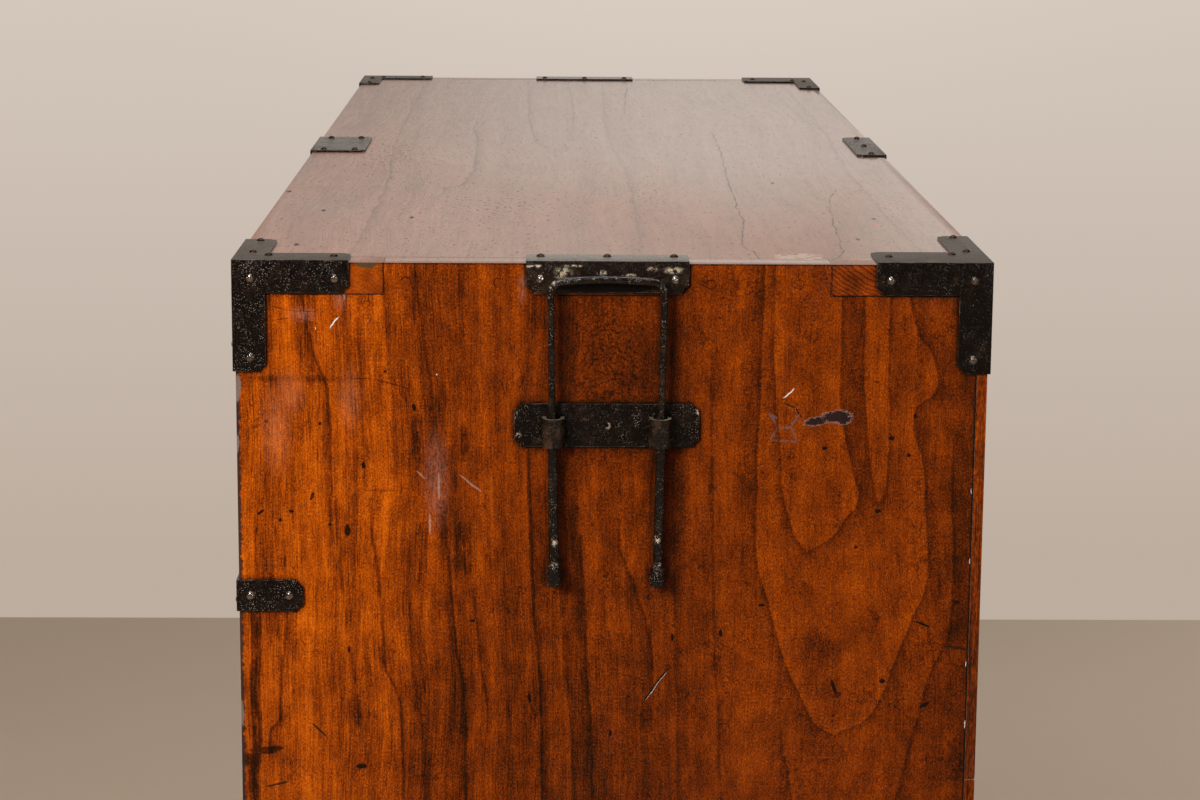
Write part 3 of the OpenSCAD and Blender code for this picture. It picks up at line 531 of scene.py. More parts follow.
def end_marks(g, sheet, across, down):
    """Tone that the right end's own marks take away, its cuts, its pits, and how deep its gouge is torn."""
    shade = sheet.marks(STRONG_STREAKS, 0.9) * sheet.broken * 0.24 - sheet.marks(WORN, 1.0) * 0.06
    # Painted shadow of the handle's legs
    shade = shade + sheet.marks(WEAK_STREAKS, 1.0) * 0.08 + sheet.marks(PAINTED_LEG_SHADOW, 1.0) * 0.13
    aside = sheet.u - ARCH_MIDDLE
    height = sheet.v - aside * aside * ARCH_DROP + (cloudy(g, across, down, 9.0) - 0.5) * 22.0
    arches = g.smooth(g.math("SINE", height * (2 * math.pi / ARCH_STEP)), 0.0, 0.9)
    torn_arches = arches * g.smooth(g.noise(across / 1.5, down / 1.2, 41.0, 1.0), 0.35, 0.60)
    shade = shade + torn_arches * sheet.marks(ARCH_FIELD, 1.0) * 0.19
    rings = sheet.marks(spots(*((*centre, PEG_RING, PEG_RING) for centre in PEG_CENTRES)), 1.0)
    shade = shade + g.band(rings - 0.17, 0.06, 0.09) * 0.22 + joint_lines(g, sheet.u, sheet.v)
    cuts = sheet.marks(CUTS)
    pits = sheet.marks(PITS)
    comb = g.smooth(g.noise(across / 0.8, 0.0, 7.0, 1.0), 0.40, 0.60)
    hatched = sheet.marks(HATCHED, 0.9) * (comb * 0.7 + 0.3)
    stain = g.high(sheet.veins(STAIN, 6.0, STAIN_SHAPE), sheet.marks(STAIN_SPOTS, 0.5) * 0.32)
    lines = g.high(sheet.marks(FINE_LINES) * 0.7, hatched * 0.9)
    shade = shade + g.high(g.high(cuts * 0.36, pits * 0.42), g.high(stain, lines * 0.26))
    deep = sheet.marks(GOUGE, 1.0)
    ragged = g.noise(across / 2.1, down / 0.8, 31.0, 3.0, 0.65) - 0.5
    return shade, cuts, pits, deep + ragged * g.smooth(deep, 0.0, 0.2) * 1.9


def end_wear(g, sheet, x, across, down, cuts, torn, gouge):
    """The layers of wear on the right end, one of them partly a painted sheen, as share and colour, from the
    lowest to the uppermost.
    """
    rubbed = g.smooth(g.noise(across / 1.3, down / 4.0, 5.0, 3.0, 0.7), 0.36, 0.60)
    # Hazy lacquer, partly a painted sheen
    yield sheet.marks(HAZE_AND_SHEEN, 1.0) * (rubbed * 0.12 + 0.07), HAZE_AND_SHEEN_COLOUR
    yield sheet.marks(SCUFFS, 0.9) * rubbed * 0.40, SCUFF_COLOUR
    frayed = across + (g.noise(down / 9, down / 3.0, 3.0, 3.0) - 0.5) * 5.0
    yield g.smooth(x, END_X - 1.8, END_X - 0.8) * g.smooth(frayed, 2.5, 1.3) * 0.9, WORN_EDGE_COLOUR
    yield cuts * 0.5, CUT_COLOUR
    yield sheet.marks(FITTING_MARKS) * sheet.broken * 0.75, FITTING_COLOUR
    yield g.band(torn - 0.27, 0.05, 0.05) * 0.7, GOUGE_RIM_COLOUR
    yield gouge * 0.95, GOUGE_COLOUR
    outwards = x + (cloudy(g, x, down, 1.6) - 0.5) * 4.0
    yield sheet.marks(CHIPS) * g.smooth(outwards, END_X - 3.2, END_X - 2.2) * 0.8, CHIP_COLOUR
    yield g.high(sheet.marks(PALE), sheet.marks(FAINT_PALE) * 0.18) * 0.85, PALE_COLOUR


def lacquered_end(name, marked):
    """End board: upright grain with tongues of growth rings at the back, and marks and wear if marked."""
    g = Graph(name)
    x, y, z = g.place()
    across, down = y - FRONT_Y, TOP_Z - z
    if not marked:
        across, down = across * -1 + LEFT_END_BACK, down + LEFT_END_SHIFT
    sheet = Sheet(g, across, down)
    warp = (g.noise(across / 90, down / 170, 2.2, 1.0) - 0.5) * 22
    calm = g.curve(across, STREAKS_ACROSS)
    if marked:
        calm = calm * g.smooth(sheet.marks(ARCH_FIELD, 1.0), 0.0, 0.6, 1.0, 0.45)
    tone, relief = wood_face(g, across + warp, down, x, calm)
    curly = g.band(g.noise(across / 8, down / 10, 17.0, 2.0) - 0.5, 0.003, 0.016)
    curly = curly * g.smooth(g.noise(across / 22, down / 26, 19.0, 1.0) + across * 0.0002, 0.54, 0.70)
    # Tone across the board: partly the wood's own, partly painted light
    tone = tone - curly * 0.15 + 0.46 + g.curve(across, TONE_AND_LIGHT_ACROSS)
    tone = tone - sheet.tongues(TONGUES) - sheet.veins(END_VEINS) * 0.9
    # Painted shade: under the top's rim, in corners, and darker towards the bottom of the board
    tone = tone - rim_and_corner_shade(g, down) - g.smooth(down, 180, 330) * 0.04
    rough = 0.30
    if marked:
        back_edge = g.smooth(across, BOARD_D - 1.4, BOARD_D - 0.6)
        rough = back_edge * 0.4 + rough
        shade, cuts, pits, torn = end_marks(g, sheet, across, down)
        tone = tone - back_edge * 0.26 - shade
        gouge = g.smooth(torn, 0.36, 0.46)
        relief = relief - g.high(g.high(cuts, gouge), pits) * 2.2
    colour = g.ramp(tone, LACQUER)
    if marked:
        for share, tint in end_wear(g, sheet, x, across, down, cuts, torn, gouge):
            colour = g.mix(share, colour, tint)
    swell = g.noise(across / 60, down / 90, 9.0, 2.0) - 0.5
    normal = g.bump(relief, GRAIN_RELIEF, g.bump(swell, END_SWELL))
    return g.finish(colour, rough, normal, coat=0.04, coat_roughness=0.12, specular=0.08)


# Cracks along the top and growth lines beside them, as (across from the front edge, along from the right end)
TOP_CRACKS = [
    ([(295.4, 25.4), (293.8, 53.5), (289.5, 57.4), (290.9, 108), (295.8, 176), (296.9, 244), (299, 390),
      (303.6, 559), (305, 696)], 1, 0.75),
    ([(335.7, 18.7), (348.7, 101), (350.7, 155), (358.4, 272), (368.4, 336)], -1, 0.75),
    ([(238.3, 846), (248.6, 1156)], 1, 0.6),
]
TOP_VEINS = [
    ([(105, 347), (119.5, 388), (122.5, 485), (115.5, 733)], 1, 0.30),
    ([(180, 594), (172.6, 598), (162, 712), (156.6, 1129)], 1, 0.26),
    ([(188.6, 631), (194.5, 698), (196, 900), (193, 1150)], -1, 0.22),
    ([(60, 30), (66, 300), (58, 700), (62, 1180)], 1, 0.18),
    ([(225, 20), (231, 330), (222, 720), (228, 1180)], 1, 0.18),
    ([(395, 40), (388, 400), (396, 800), (390, 1180)], -1, 0.2),
]
# Dull red marks in the top's lacquer, dark ones, fields with more dents, and a chip beside a finger
TOP_RED = spots(*((across, along, 1.6, 9.0) for across, along in [
    (255, 460), (225, 452), (287, 407), (410, 511), (378, 165), (168, 181), (61, 770), (44, 595)]))
TOP_DARK = spots(*((across, along, 1.6, 6.0) for across, along in [
    (34, 224), (29.5, 70), (91, 192), (329, 379), (359.5, 102), (380, 195), (3, 320)]))
TOP_FIELD = spots((242, 330, 18, 170), (150, 250, 60, 120), (60, 520, 30, 200))
TOP_CHIP = spots((318, 30, 15, 15))
FADED_COLOUR = (0.080, 0.068, 0.056)
RED_COLOUR = (0.34, 0.05, 0.015)
TOP_CHIP_COLOUR = (0.34, 0.26, 0.20)


def lacquered_top():
    """Top board: dark red-brown lacquer over lengthwise grain, faded, dented and cracked."""
    g = Graph("top_lacquer")
    x, y, z = g.place()
    along, across = END_X - x, y - FRONT_Y
    crooked = g.noise(along / 34, across / 60, 21.0, 3.0, 0.6) - 0.5
    sheet = Sheet(g, across + crooked * 7.0, along)
    warp = (g.noise(along / 320, across / 120, 2.2, 1.0) - 0.5) * 40
    tone, relief = wood_face(g, across + warp, along / 2.2, z)
    rubbed = g.noise(across / 3.0, along / 5.0, 33.0, 2.0, 0.6) + sheet.marks(TOP_FIELD, 1.0) * 0.05
    dents = g.smooth(rubbed, 0.65, 0.69)
    tone = tone * (across * 0.0004 + 0.46) + 0.51 - sheet.veins(TOP_VEINS, 60.0) * 0.8 - dents * 0.44
    opened = g.smooth(g.noise(along / 26, across / 26, 27.0, 2.0), 0.38, 0.58, 0.35, 1.0)
    dark = g.high(sheet.veins(TOP_CRACKS, 6.0, CRACK_SHAPE) * opened, sheet.marks(TOP_DARK))
    colour = g.ramp(tone - dark * 0.7, TOP_LACQUER)
    fading = g.noise(across / 130, along / 420, 6.0, 2.0) + along * 0.00025 + across * 0.0003
    colour = g.mix(g.smooth(fading, 0.35, 0.90) * 0.35 + 0.10, colour, FADED_COLOUR)
    colour = g.mix(sheet.marks(TOP_RED) * 0.8, colour, RED_COLOUR)
    chip = sheet.marks(TOP_CHIP, 0.2) * g.smooth(g.noise(across / 7, along / 9, 2.0, 3.0), 0.40, 0.48)
    colour = g.mix(chip * 0.6, colour, TOP_CHIP_COLOUR)
    swell = g.noise(along / 160, across / 60, 9.0, 2.0) - 0.5
    relief = relief * 0.9 - dents * 1.0 - dark * 2.5 - chip * 1.0
    rough = g.smooth(across, 160, 0) * 0.05 + dents * 0.4 + dark * 0.5 + chip * 0.3 + 0.25
    rough = rough + (tone - 0.47) * -0.25
    normal = g.bump(relief, GRAIN_RELIEF, g.bump(swell, TOP_SWELL))
    return g.finish(colour, rough, normal, coat=g.smooth(across, -40, 330, 0.0, 0.60), coat_roughness=0.12,
                    specular=0.46)


def end_grain(name, bright, jointed=False):
    """Lacquered end grain: growth rings cut at a slant, and the joint's lines and chip if jointed."""
    g = Graph(name)
    x, y, z = g.place()
    across, down = y - FRONT_Y, TOP_Z - z
    sway = (g.noise(y / 14, z / 14, 1.0, 2.0) - 0.5) * 12
    ring = g.math("FRACT", (y + z * 1.6 + sway) / 4.6)
    grit = g.noise(y / 0.9, z / 0.9, 2.0, 2.0, 0.65) - 0.5
    cloud = g.noise(y / 9, z / 9, 5.0, 3.0) - 0.5
    rings = g.smooth(ring, 0.45, 1.0) * g.smooth(y, -60, 80, 0.25, 1.0)
    # Tone across the board is partly painted light, as on the end boards
    tone = g.curve(across, TONE_AND_LIGHT_ACROSS) + 0.48 + bright + grit * 0.6 + cloud * 0.5 - rings * 0.20
    # Painted shade under the top's rim and in corners
    tone = tone - rim_and_corner_shade(g, down)
    if jointed:
        sheet = Sheet(g, across, down)
        tone = tone - joint_lines(g, sheet.u, sheet.v)
    colour = g.ramp(tone, LACQUER)
    if jointed:
        ragged = (g.noise(y / 2.6, z / 1.6, 4.0, 2.0) - 0.5) * 0.5
        chip = g.smooth(sheet.marks(FINGER_CHIP, 1.0) + ragged, 0.30, 0.42)
        colour = g.mix(chip * 0.9, colour, FINGER_CHIP_COLOUR)
    normal = g.bump(grit, CUT_RELIEF)
    return g.finish(colour, 0.30, normal, coat=0.06, coat_roughness=0.12, specular=0.12)


def lengthwise(name, stops, roughness, coat, axis=X_AXIS, bright=0.0, contrast=1.0, specular=0.3):
    """A plain board with its grain along the given axis, and darker end grain."""
    g = Graph(name)
    point = g.place()
    along = point[axis]
    across, out = [part for i, part in enumerate(point) if i != axis]
    warp = (g.noise(along / 300, across / 110, out / 110, 1.0) - 0.5) * 30
    tone, relief = wood_face(g, across + warp, along / 2.6, out)
    end = g.noise(point[1] / 1.2, point[0] / 1.2, point[2] / 1.2, 2.0, 0.6) - 0.5
    on_end = g.smooth(g.facing()[axis], 0.6, 0.8)
    tone = tone * contrast + 0.5 + bright + on_end * (end * 0.4 - 0.14)
    normal = g.bump(relief, GRAIN_RELIEF)
    return g.finish(g.ramp(tone, stops), roughness, normal, coat=coat, coat_roughness=0.15, specular=specular)


# Where irons are rubbed bright, where glints are painted on the handle's bend and knobs, and where shadow is
# painted under the bar's crossbar, as (across from the front edge, down)
SHEET_WORN = spots((209, 92.2, 2.9, 2.9), (157.5, 86, 1.4, 4), (159, 98, 2, 2), (260, 85, 1.4, 4))
PAINTED_HANDLE_GLINTS = spots((177.6, 10.5, 3.2, 3.6), (179.6, 171.3, 3.4, 1.7), (238.4, 171.3, 3.4, 1.7),
                    (180.0, 158, 2.6, 4.5), (238.0, 157, 2.6, 3.5))
# Painted shadow under the carrying handle's crossbar
BAR_PAINTED_SHADOW = spots((208.7, 13.5, 34, 4.5))
BAR_WORN = spots((170, 1.6, 11, 1.2), (184, 5.5, 6, 5.0), (246, 3.6, 8, 2.6), (234, 3, 4, 1.8),
                 (205, 5, 5, 2.0), (222, 6.5, 4, 1.4), (190, 1.2, 8, 1.0))
# Colours of painted glints, of rubbed patches and the handle's painted glints, and of painted shadow
PAINTED_GLINT_COLOUR = (0.46, 0.36, 0.27)
RUBBED_AND_GLINT_COLOUR = (0.50, 0.39, 0.27)
PAINTED_SHADOW_COLOUR = (0.002, 0.0013, 0.001)
# Each kind of iron: its sound and its rusty colour, and the settings of iron()
IRONS = {
    "sheet_iron": dict(base=(0.0030, 0.0015, 0.0009), rust=(0.011, 0.0045, 0.0022), roughness=0.26, seed=3.0,
                       glint_paint=0.6, specular=0.15, worn=SHEET_WORN),
    "bar_iron": dict(base=(0.0060, 0.0028, 0.0014), rust=(0.026, 0.012, 0.0052), roughness=0.30, seed=11.0,
                     specular=0.15, worn=BAR_WORN, painted_shadow=BAR_PAINTED_SHADOW),
    # Tops of the bar irons: a paler base colour that is a painted reflection of the pale wall
    "flange_painted_reflection": dict(base=(0.046, 0.042, 0.034), rust=(0.11, 0.093, 0.072), roughness=0.24, seed=71.0,
                          specular=0.5),
    # Tops of the corner irons: dull, with a paler base colour that is a painted reflection of the pale wall
    "dull_top_painted_reflection": dict(base=(0.024, 0.018, 0.012), rust=(0.070, 0.050, 0.033), roughness=0.45, seed=5.0,
                      specular=0.18),
    "rubbed_iron": dict(base=(0.008, 0.006, 0.0045), rust=(0.12, 0.09, 0.065), roughness=0.30, seed=51.0,
                        rust_share=0.45, glint_paint=0.7),
    "forged_iron": dict(base=(0.0036, 0.0018, 0.0010), rust=(0.020, 0.009, 0.0038), roughness=0.18, seed=21.0,
                        glint_paint=0.8, specular=0.28, worn=PAINTED_HANDLE_GLINTS),
    "loop_iron": dict(base=(0.0042, 0.0022, 0.0012), rust=(0.034, 0.015, 0.0065), roughness=0.22, seed=31.0,
                      rust_share=0.45, specular=0.3),
    # Up-facing rims of the guide loops: a bright base colour that is a painted highlight
    "loop_rim_painted_highlight": dict(base=(0.090, 0.068, 0.050), rust=(0.30, 0.235, 0.17), roughness=0.3, seed=61.0),
    "nail_iron": dict(base=(0.24, 0.20, 0.17), rust=(0.06, 0.035, 0.02), roughness=0.22, seed=41.0,
                      rust_share=0.40, glint_paint=0.2, metallic=1.0, dull_top=(0.030, 0.016, 0.010)),
}


def iron(name, base, rust, roughness, seed, rust_share=0.4, glint_paint=0.4, specular=0.2, metallic=0.0, worn=(),
         painted_shadow=(), dull_top=None):
    """Blackened iron: pitted and dented, with thin rust, and small bright points that are painted glints.
    Where given, rubbed bright patches, which on the handle are painted glints, and a painted shadow.
    """
    g = Graph(name)
    x, y, z = g.place()
    pits = g.smooth(g.noise(x / 1.3 + seed, y / 1.3, z / 1.3, 2.0, 0.6), 0.54, 0.72)
    grain = g.noise(x / 0.7, y / 0.7, z / 0.7 + seed, 1.0, 0.6) - 0.5
    dents = g.noise(x / 3.0, y / 3.0, z / 3.0 + seed, 2.0, 0.5) - 0.5
    patches = g.noise(x / 9 + seed, y / 9, z / 9, 4.0, 0.65)
    rusty = g.smooth(patches, 1 - rust_share - 0.12, 1 - rust_share + 0.16)
    # Painted glints: small bright points, fewer towards +Y, away from the key lamp
    glint_crowd = g.noise(x / 7, y / 7, z / 7 + seed * 2, 3.0, 0.6) - y * 0.00028
    painted_glints = g.smooth(g.cells(x / 0.95, y / 0.95, z / 0.95 + seed), 0.30, 0.12) * g.smooth(glint_crowd, 0.42, 0.72)
    colour = g.mix(rusty, base, rust)
    colour = g.mix(painted_glints * glint_paint, colour, PAINTED_GLINT_COLOUR)
    rough = grain * 0.25 + rusty * 0.16 + roughness
    sheet = Sheet(g, y - FRONT_Y, TOP_Z - z) if worn or painted_shadow else None
    if worn:
        # Rubbed bright patches; on the handle these are painted glints
        rubbed = g.smooth(grain * 0.7 + dents, -0.05, 0.10)
        colour = g.mix(sheet.marks(worn, 0.9) * rubbed * 0.8, colour, RUBBED_AND_GLINT_COLOUR)
    # Painted shadow under the crossbar
    if painted_shadow:
        shadowed = sheet.marks(painted_shadow, 0.4)
        colour = g.mix(shadowed, colour, PAINTED_SHADOW_COLOUR)
        rough = rough + shadowed * 0.4
    if dull_top:
        colour = g.mix(g.smooth(z, TOP_Z - 0.5, TOP_Z), colour, dull_top)
    normal = g.bump(grain * 0.4 - pits, IRON_RELIEF, g.bump(dents, IRON_DENTS))
    return g.finish(colour, rough, normal, specular=specular, metallic=metallic)


# Piece that shows in place of each node: the node itself, or its copy with softened edges
shown = dict(frame["nodes"])
body_of = {name: body for body, names in frame["record"]["behaviour"]["bodies"].items() for name in names}

# How far the edges of boards, of irons, and of drawer fronts and rails are rounded
BOARD_EDGE, IRON_EDGE, FRONT_EDGE = 0.4 * MM, 0.45 * MM, 0.8 * MM
# Corners sharper than this are softened, faces closer to level than the second angle become one face, and
# shading runs on over edges flatter than the third
SHARP_CORNER = math.radians(40)
LEVEL = math.radians(1)
SMOOTH_STEP = math.radians(28)
# Edges have to be this many times longer than they are rounded
LONG_EDGE = 3
# Points closer than this are one point
SAME_POINT = 0.002 * MM
# Larger faces stay flat, so that the bends of their edges don't shade them
SMALL_FACE = 12 * MM * MM
# A face belongs to an axis if its normal has at least this share of it, and to a rounded edge if it has
# less than the second share of any axis
ALONG_AXIS, OFF_AXES = 0.9, 0.97


def add(name, data):
    """A new object in the scene."""
    made = bpy.data.objects.new(name, data)
    bpy.context.scene.collection.objects.link(made)
    return made


def soften(width, names):
    """Puts copies with worn edges in place of nodes. Rims of holes stay sharp, as their edges are short."""
    for name in names:
        mesh = frame["nodes"][name].data.copy()
        if mesh.has_custom_normals:
            mesh.attributes.remove(mesh.attributes["custom_normal"])
        work = bmesh.new()
        work.from_mesh(mesh)
        bmesh.ops.remove_doubles(work, verts=work.verts, dist=SAME_POINT)
        bmesh.ops.dissolve_limit(work, angle_limit=LEVEL, verts=work.verts, edges=work.edges)
        edges = [e for e in work.edges if len(e.link_faces) == 2 and e.is_convex
                 and e.calc_face_angle(0.0) > SHARP_CORNER and e.calc_length() > LONG_EDGE * width]
        bevel = bmesh.ops.bevel(work, geom=edges, offset=width, offset_type="OFFSET", segments=2,
                                profile=0.5, affect="EDGES", clamp_overlap=True)
        rounded = set(bevel["faces"])
        for face in work.faces:
            face.smooth = face in rounded or face.calc_area() < SMALL_FACE
        work.to_mesh(mesh)
        work.free()
        mesh.set_sharp_from_angle(angle=SMOOTH_STEP)
        piece = add("worn_" + name, mesh)
        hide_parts(name)
        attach(piece, body_of[name])
        shown[name] = piece


def paint(material, *nodes):
    """Gives the pieces of nodes one material all over."""
    for name in nodes:
        slots = shown[name].data.materials
        if len(slots) == 0:
            slots.append(material)
        for i in range(len(slots)):
            slots[i] = material


def paint_where(chosen, material, nodes):
    """Gives the faces whose normals are chosen a material of their own."""
    for name in nodes:
        mesh = shown[name].data
        mesh.materials.append(material)
        last = len(mesh.materials) - 1
        for face in mesh.polygons:
            if chosen(face.normal):
                face.material_index = last


def paint_faces(axis, material, *nodes):
    """Gives the faces that look along an axis a material of their own."""
    paint_where(lambda normal: abs(normal[axis]) > ALONG_AXIS, material, nodes)


def paint_worn_edges(material, *nodes):
    """Gives the narrow faces of softened edges a material of their own."""
    paint_where(lambda normal: max(abs(n) for n in normal) < OFF_AXES, material, nodes)


DRAWERS = range(1, 5)
SIDES = ("right", "left")
SHEET_IRONS = (["base_corner_irons", "edge_iron_front", "edge_iron_back"]
               + ["corner_iron_%s_%s" % (f, s) for f in ("front", "back") for s in SIDES]
               + ["%s_%s" % (n, s) for n in ("rail_straps", "guide_plate") for s in SIDES])
BAR_IRONS = ["bar_iron_" + s for s in SIDES]
GUIDE_LOOPS = ["guide_loops_" + s for s in SIDES]
HANDLES = ["carrying_handle_" + s for s in SIDES]
END_BOARDS = [s + "_end_board" for s in SIDES]
RAILS = ["drawer_rail_%d" % k for k in (1, 2, 3)]


def drawer_parts(*names):
    """The nodes of these names in every drawer."""
    return ["drawer_%d_%s" % (k, n) for k in DRAWERS for n in names]


def dress_wood():
    soften(BOARD_EDGE, ["top_board", "bottom_board", *END_BOARDS, "back_boards"])
    soften(FRONT_EDGE, drawer_parts("front") + RAILS)
    front = lengthwise("front_lacquer", LACQUER, 0.40, 0.25, bright=-0.06)
    rail = lengthwise("rail_lacquer", LACQUER, 0.40, 0.25, bright=-0.14)
    back = lengthwise("back_wood", AGED, 0.75, 0.0)
    back_edge = lengthwise("back_edge", LACQUER, 0.30, 0.06, axis=Z_AXIS, bright=-0.16, specular=0.12)
    inner_long = lengthwise("inner_wood_long", BARE, 0.72, 0.0, bright=0.08, contrast=0.7)
    inner_side = lengthwise("inner_wood_side", BARE, 0.72, 0.0, axis=Y_AXIS, bright=0.08, contrast=0.7)
    paint(lacquered_end("end_lacquer_right", True), "right_end_board")
    paint(lacquered_end("end_lacquer_left", False), "left_end_board")
    top = lacquered_top()
    paint(top, "top_board")
    paint_faces(Z_AXIS, top, *END_BOARDS)
    paint_faces(X_AXIS, end_grain("finger_ends", -0.02, True), "top_board")
    paint(front, *drawer_parts("front"))
    paint(rail, "bottom_board", *RAILS)
    paint(back, "back_boards")
    paint_faces(X_AXIS, back_edge, "back_boards")
    paint(inner_long, "dust_boards", *drawer_parts("back", "bottom"))
    paint(inner_side, *drawer_parts("left_side", "right_side"))
    paint(end_grain("peg_wood", 0.0), "wooden_pegs")


def dress_iron():
    soften(IRON_EDGE, SHEET_IRONS + BAR_IRONS)
    kinds = {name: iron(name, **settings) for name, settings in IRONS.items()}
    paint(kinds["sheet_iron"], *SHEET_IRONS)
    paint(kinds["bar_iron"], *BAR_IRONS)
    # Up-facing faces of the bar irons: painted reflection
    paint_faces(Z_AXIS, kinds["flange_painted_reflection"], *BAR_IRONS)
    # Up-facing faces of the corner irons: painted reflection
    paint_faces(Z_AXIS, kinds["dull_top_painted_reflection"], *[n for n in SHEET_IRONS if n.startswith("corner")])
    paint_worn_edges(kinds["rubbed_iron"], *SHEET_IRONS, *BAR_IRONS)
    paint(kinds["forged_iron"], *HANDLES, *drawer_parts("pull_eyes", "left_pull", "right_pull"))
    paint(kinds["loop_iron"], *GUIDE_LOOPS)
    # Up-facing rims of the guide loops: painted highlight
    paint_faces(Z_AXIS, kinds["loop_rim_painted_highlight"], *GUIDE_LOOPS)
    paint(kinds["nail_iron"], "iron_nails")


# Studio: the wall stands where the photograph's does, and shows only its lit side. Sizes in metres
WALL_X, WALL_REACH, WALL_TOP = -1.83, 9.0, 5.0
# The wall's colour by the height in metres, darker towards the floor as painted shade, and its painted pool of
# light in the middle: place (y, z), radius and strength
WALL_SHADE_BY_HEIGHT = [(0.1, (0.51, 0.42, 0.35)), (0.8, (0.64, 0.555, 0.485)), (1.2, (0.72, 0.635, 0.57)),
                (1.8, (0.62, 0.545, 0.48))]
WALL_GLOW_AT, WALL_GLOW_REACH, WALL_GLOW = (0.15, 1.45), 1.0, 0.14
FLOOR_REACH = 40.0
FLOOR_COLOUR = (0.335, 0.262, 0.197)
FLOOR_MOTTLE = 0.08
# Beyond the lamps' reach the floor shows this colour, and takes it on over these distances in mm
FAR_FLOOR, FAR_FLOOR_FROM, FAR_FLOOR_TO = (0.36, 0.28, 0.21), 1500, 3000
# What the camera sees beyond wall and floor, and how strongly that lights the chest
SKY_COLOUR, SKY_LIGHT = (0.66, 0.59, 0.54), 0.11


def plane(name, corners):
    """A flat piece of the studio."""
    mesh = bpy.data.meshes.new(name)
    mesh.from_pydata(corners, [], [(0, 1, 2, 3)])
    made = add(name, mesh)
    return made


def seen_share(g):
    """One where the camera or a mirror image sees the surface, nothing where it lights the object."""
    light = g.node("ShaderNodeLightPath")
    return g.high(Num(g, light.outputs["Is Camera Ray"]), Num(g, light.outputs["Is Glossy Ray"]))


def blend(g, share, a, b):
    """Shader a where share is 0 and b where it is 1."""
    return g.node("ShaderNodeMixShader", {0: share, 1: a, 2: b}).outputs[0]


def floor_paint():
    """Matt floor that keeps the chest's shadow, and one even colour far away."""
    g = Graph("floor_paint")
    x, y, z = g.place()
    mottle = g.noise(x / 900, y / 900, z, 3.0) - 0.5
    dark, pale = [tuple(c * (1 + change) for c in FLOOR_COLOUR) for change in (-FLOOR_MOTTLE, FLOOR_MOTTLE)]
    colour = g.mix(mottle * 0.6 + 0.5, dark, pale)
    near = g.solid(colour, 0.8, specular=0.2)
    distant = g.smooth(g.math("SQRT", x * x + y * y), FAR_FLOOR_FROM, FAR_FLOOR_TO)
    glow = g.node("ShaderNodeEmission", {"Color": (*FAR_FLOOR, 1.0), "Strength": 1.0})
    return g.surface(blend(g, seen_share(g) * distant, near, glow.outputs[0]))


def wall_paint():
    """Wall that glows in its given colours for the camera and in mirror images, with painted shade towards the
    floor and a painted pool of light in the middle; matt to the lamps' light, and clear from behind.
    """
    g = Graph("wall_paint")
    x, y, z = g.place()
    low, span = WALL_SHADE_BY_HEIGHT[0][0], WALL_SHADE_BY_HEIGHT[-1][0] - WALL_SHADE_BY_HEIGHT[0][0]
    shade = g.ramp((z * MM - low) / span, [((h - low) / span, c) for h, c in WALL_SHADE_BY_HEIGHT])
    away = g.node("ShaderNodeMapping", {
        "Vector": g.vector(y * MM, z * MM, 0.0), "Location": (*WALL_GLOW_AT, 0.0),
        "Scale": (WALL_GLOW_REACH, WALL_GLOW_REACH, 1.0)}, vector_type="TEXTURE").outputs[0]
    shade = g.vmath("SCALE", shade)
    g.feed(shade.node.inputs["Scale"], g.smooth(g.sphere(away), 0.0, 1.0, 1.0, 1.0 + WALL_GLOW))
    glow = g.node("ShaderNodeEmission", {"Color": shade, "Strength": 1.0})
    matt = g.node("ShaderNodeBsdfDiffuse", {"Color": shade})
    clear = g.node("ShaderNodeBsdfTransparent")
    behind = g.node("ShaderNodeNewGeometry").outputs["Backfacing"]
    front = blend(g, seen_share(g), matt.outputs[0], glow.outputs[0])
    return g.surface(blend(g, behind, front, clear.outputs[0]))


def studio():
    reach = FLOOR_REACH
    floor = plane("floor", [(-reach, -reach, 0), (reach, -reach, 0), (reach, reach, 0), (-reach, reach, 0)])
    floor.data.materials.append(floor_paint())
    reach = WALL_REACH
    wall = plane("wall", [(WALL_X, -reach, 0), (WALL_X, reach, 0), (WALL_X, reach, WALL_TOP),
                          (WALL_X, -reach, WALL_TOP)])
    wall.visible_shadow = False
    wall.data.materials.append(wall_paint())


def area(name, place, target, width, height, power):
    """A rectangular lamp that looks at its target."""
    data = bpy.data.lights.new(name, "AREA")
    data.shape = "RECTANGLE"
    data.size, data.size_y = width, height
    data.energy = power
    made = add(name, data)
    made.location = place
    made.rotation_mode = "QUATERNION"
    made.rotation_quaternion = (Vector(target) - Vector(place)).to_track_quat("-Z", "Y")
    return made


# Where the lamps in front look at, in metres: the end of the chest, near its top
LAMP_TARGET = (END_X * MM, 0.0, 0.70)


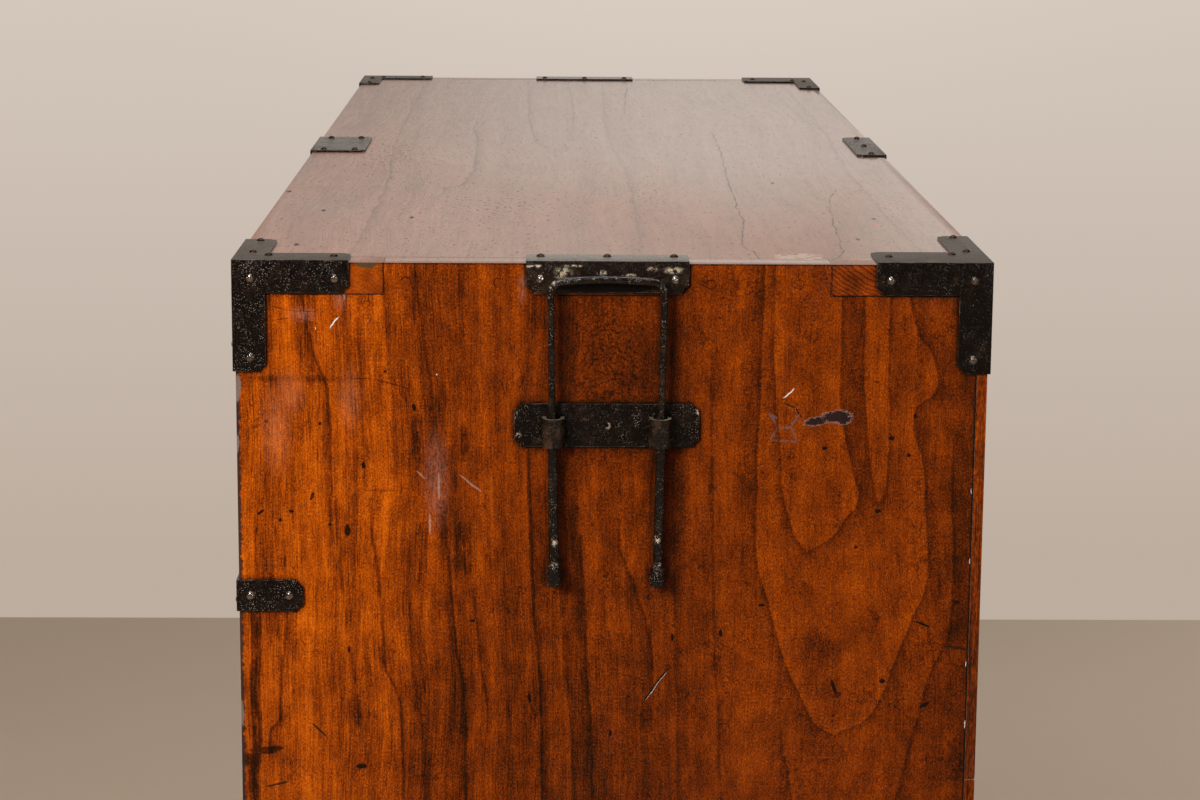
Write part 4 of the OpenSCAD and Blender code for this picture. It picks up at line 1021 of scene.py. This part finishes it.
def lights():
    """Soft lamps. The key lamp gives no gloss, because it would wash out the top in views from behind."""
    key = area("key", (2.0, -1.25, 1.70), LAMP_TARGET, 0.7, 0.7, 76)
    key.visible_glossy = False
    glint = area("glint", (1.9, -0.6, 2.2), LAMP_TARGET, 0.3, 0.3, 40)
    glint.visible_diffuse = False
    area("side_fill", (1.9, 1.6, 1.35), LAMP_TARGET, 0.35, 0.6, 10)
    area("overhead", (0.2, 0.0, 3.2), (0, 0, 0), 2.4, 1.6, 55)
    area("back_fill", (-2.3, 2.2, 1.6), (0, 0, 0.5), 1.5, 1.5, 52)


def sky():
    """A weak even light from all around, which the camera sees at full strength."""
    world = bpy.data.worlds.new("studio")
    bpy.context.scene.world = world
    world.use_nodes = True
    tree = world.node_tree
    tree.nodes.clear()
    path = tree.nodes.new("ShaderNodeLightPath")
    strength = tree.nodes.new("ShaderNodeMapRange")
    strength.inputs["To Min"].default_value = SKY_LIGHT
    strength.inputs["To Max"].default_value = 1.0
    tree.links.new(path.outputs["Is Camera Ray"], strength.inputs["Value"])
    background = tree.nodes.new("ShaderNodeBackground")
    background.inputs["Color"].default_value = (*SKY_COLOUR, 1.0)
    tree.links.new(strength.outputs[0], background.inputs["Strength"])
    out = tree.nodes.new("ShaderNodeOutputWorld")
    tree.links.new(background.outputs[0], out.inputs["Surface"])


# Camera, fitted to the photograph's perspective: metres, lens and sensor in mm, angles in radians
CAMERA_PLACE = (2.25776, -0.03109, 1.11263)
CAMERA_LENS = 89.43
CAMERA_SENSOR = 36.0
CAMERA_PITCH = 0.192489
CAMERA_YAW = 0.0174142
CAMERA_ROLL = 0.00697372


def camera():
    data = bpy.data.cameras.new("camera")
    data.lens = CAMERA_LENS
    data.sensor_width = CAMERA_SENSOR
    made = add("camera", data)
    level = math.cos(CAMERA_PITCH)
    ahead = Vector((-level * math.cos(CAMERA_YAW), level * math.sin(CAMERA_YAW), -math.sin(CAMERA_PITCH)))
    right = ahead.cross(Vector((0, 0, 1))).normalized()
    up = right.cross(ahead)
    tilted_right = right * math.cos(CAMERA_ROLL) + up * math.sin(CAMERA_ROLL)
    tilted_up = up * math.cos(CAMERA_ROLL) - right * math.sin(CAMERA_ROLL)
    turn = Matrix((tilted_right, tilted_up, -ahead)).transposed()
    made.matrix_world = Matrix.Translation(CAMERA_PLACE) @ turn.to_4x4()
    bpy.context.scene.camera = made


camera()
dress_wood()
dress_iron()
studio()
lights()
sky()
bpy.context.scene.view_settings.view_transform = "Standard"
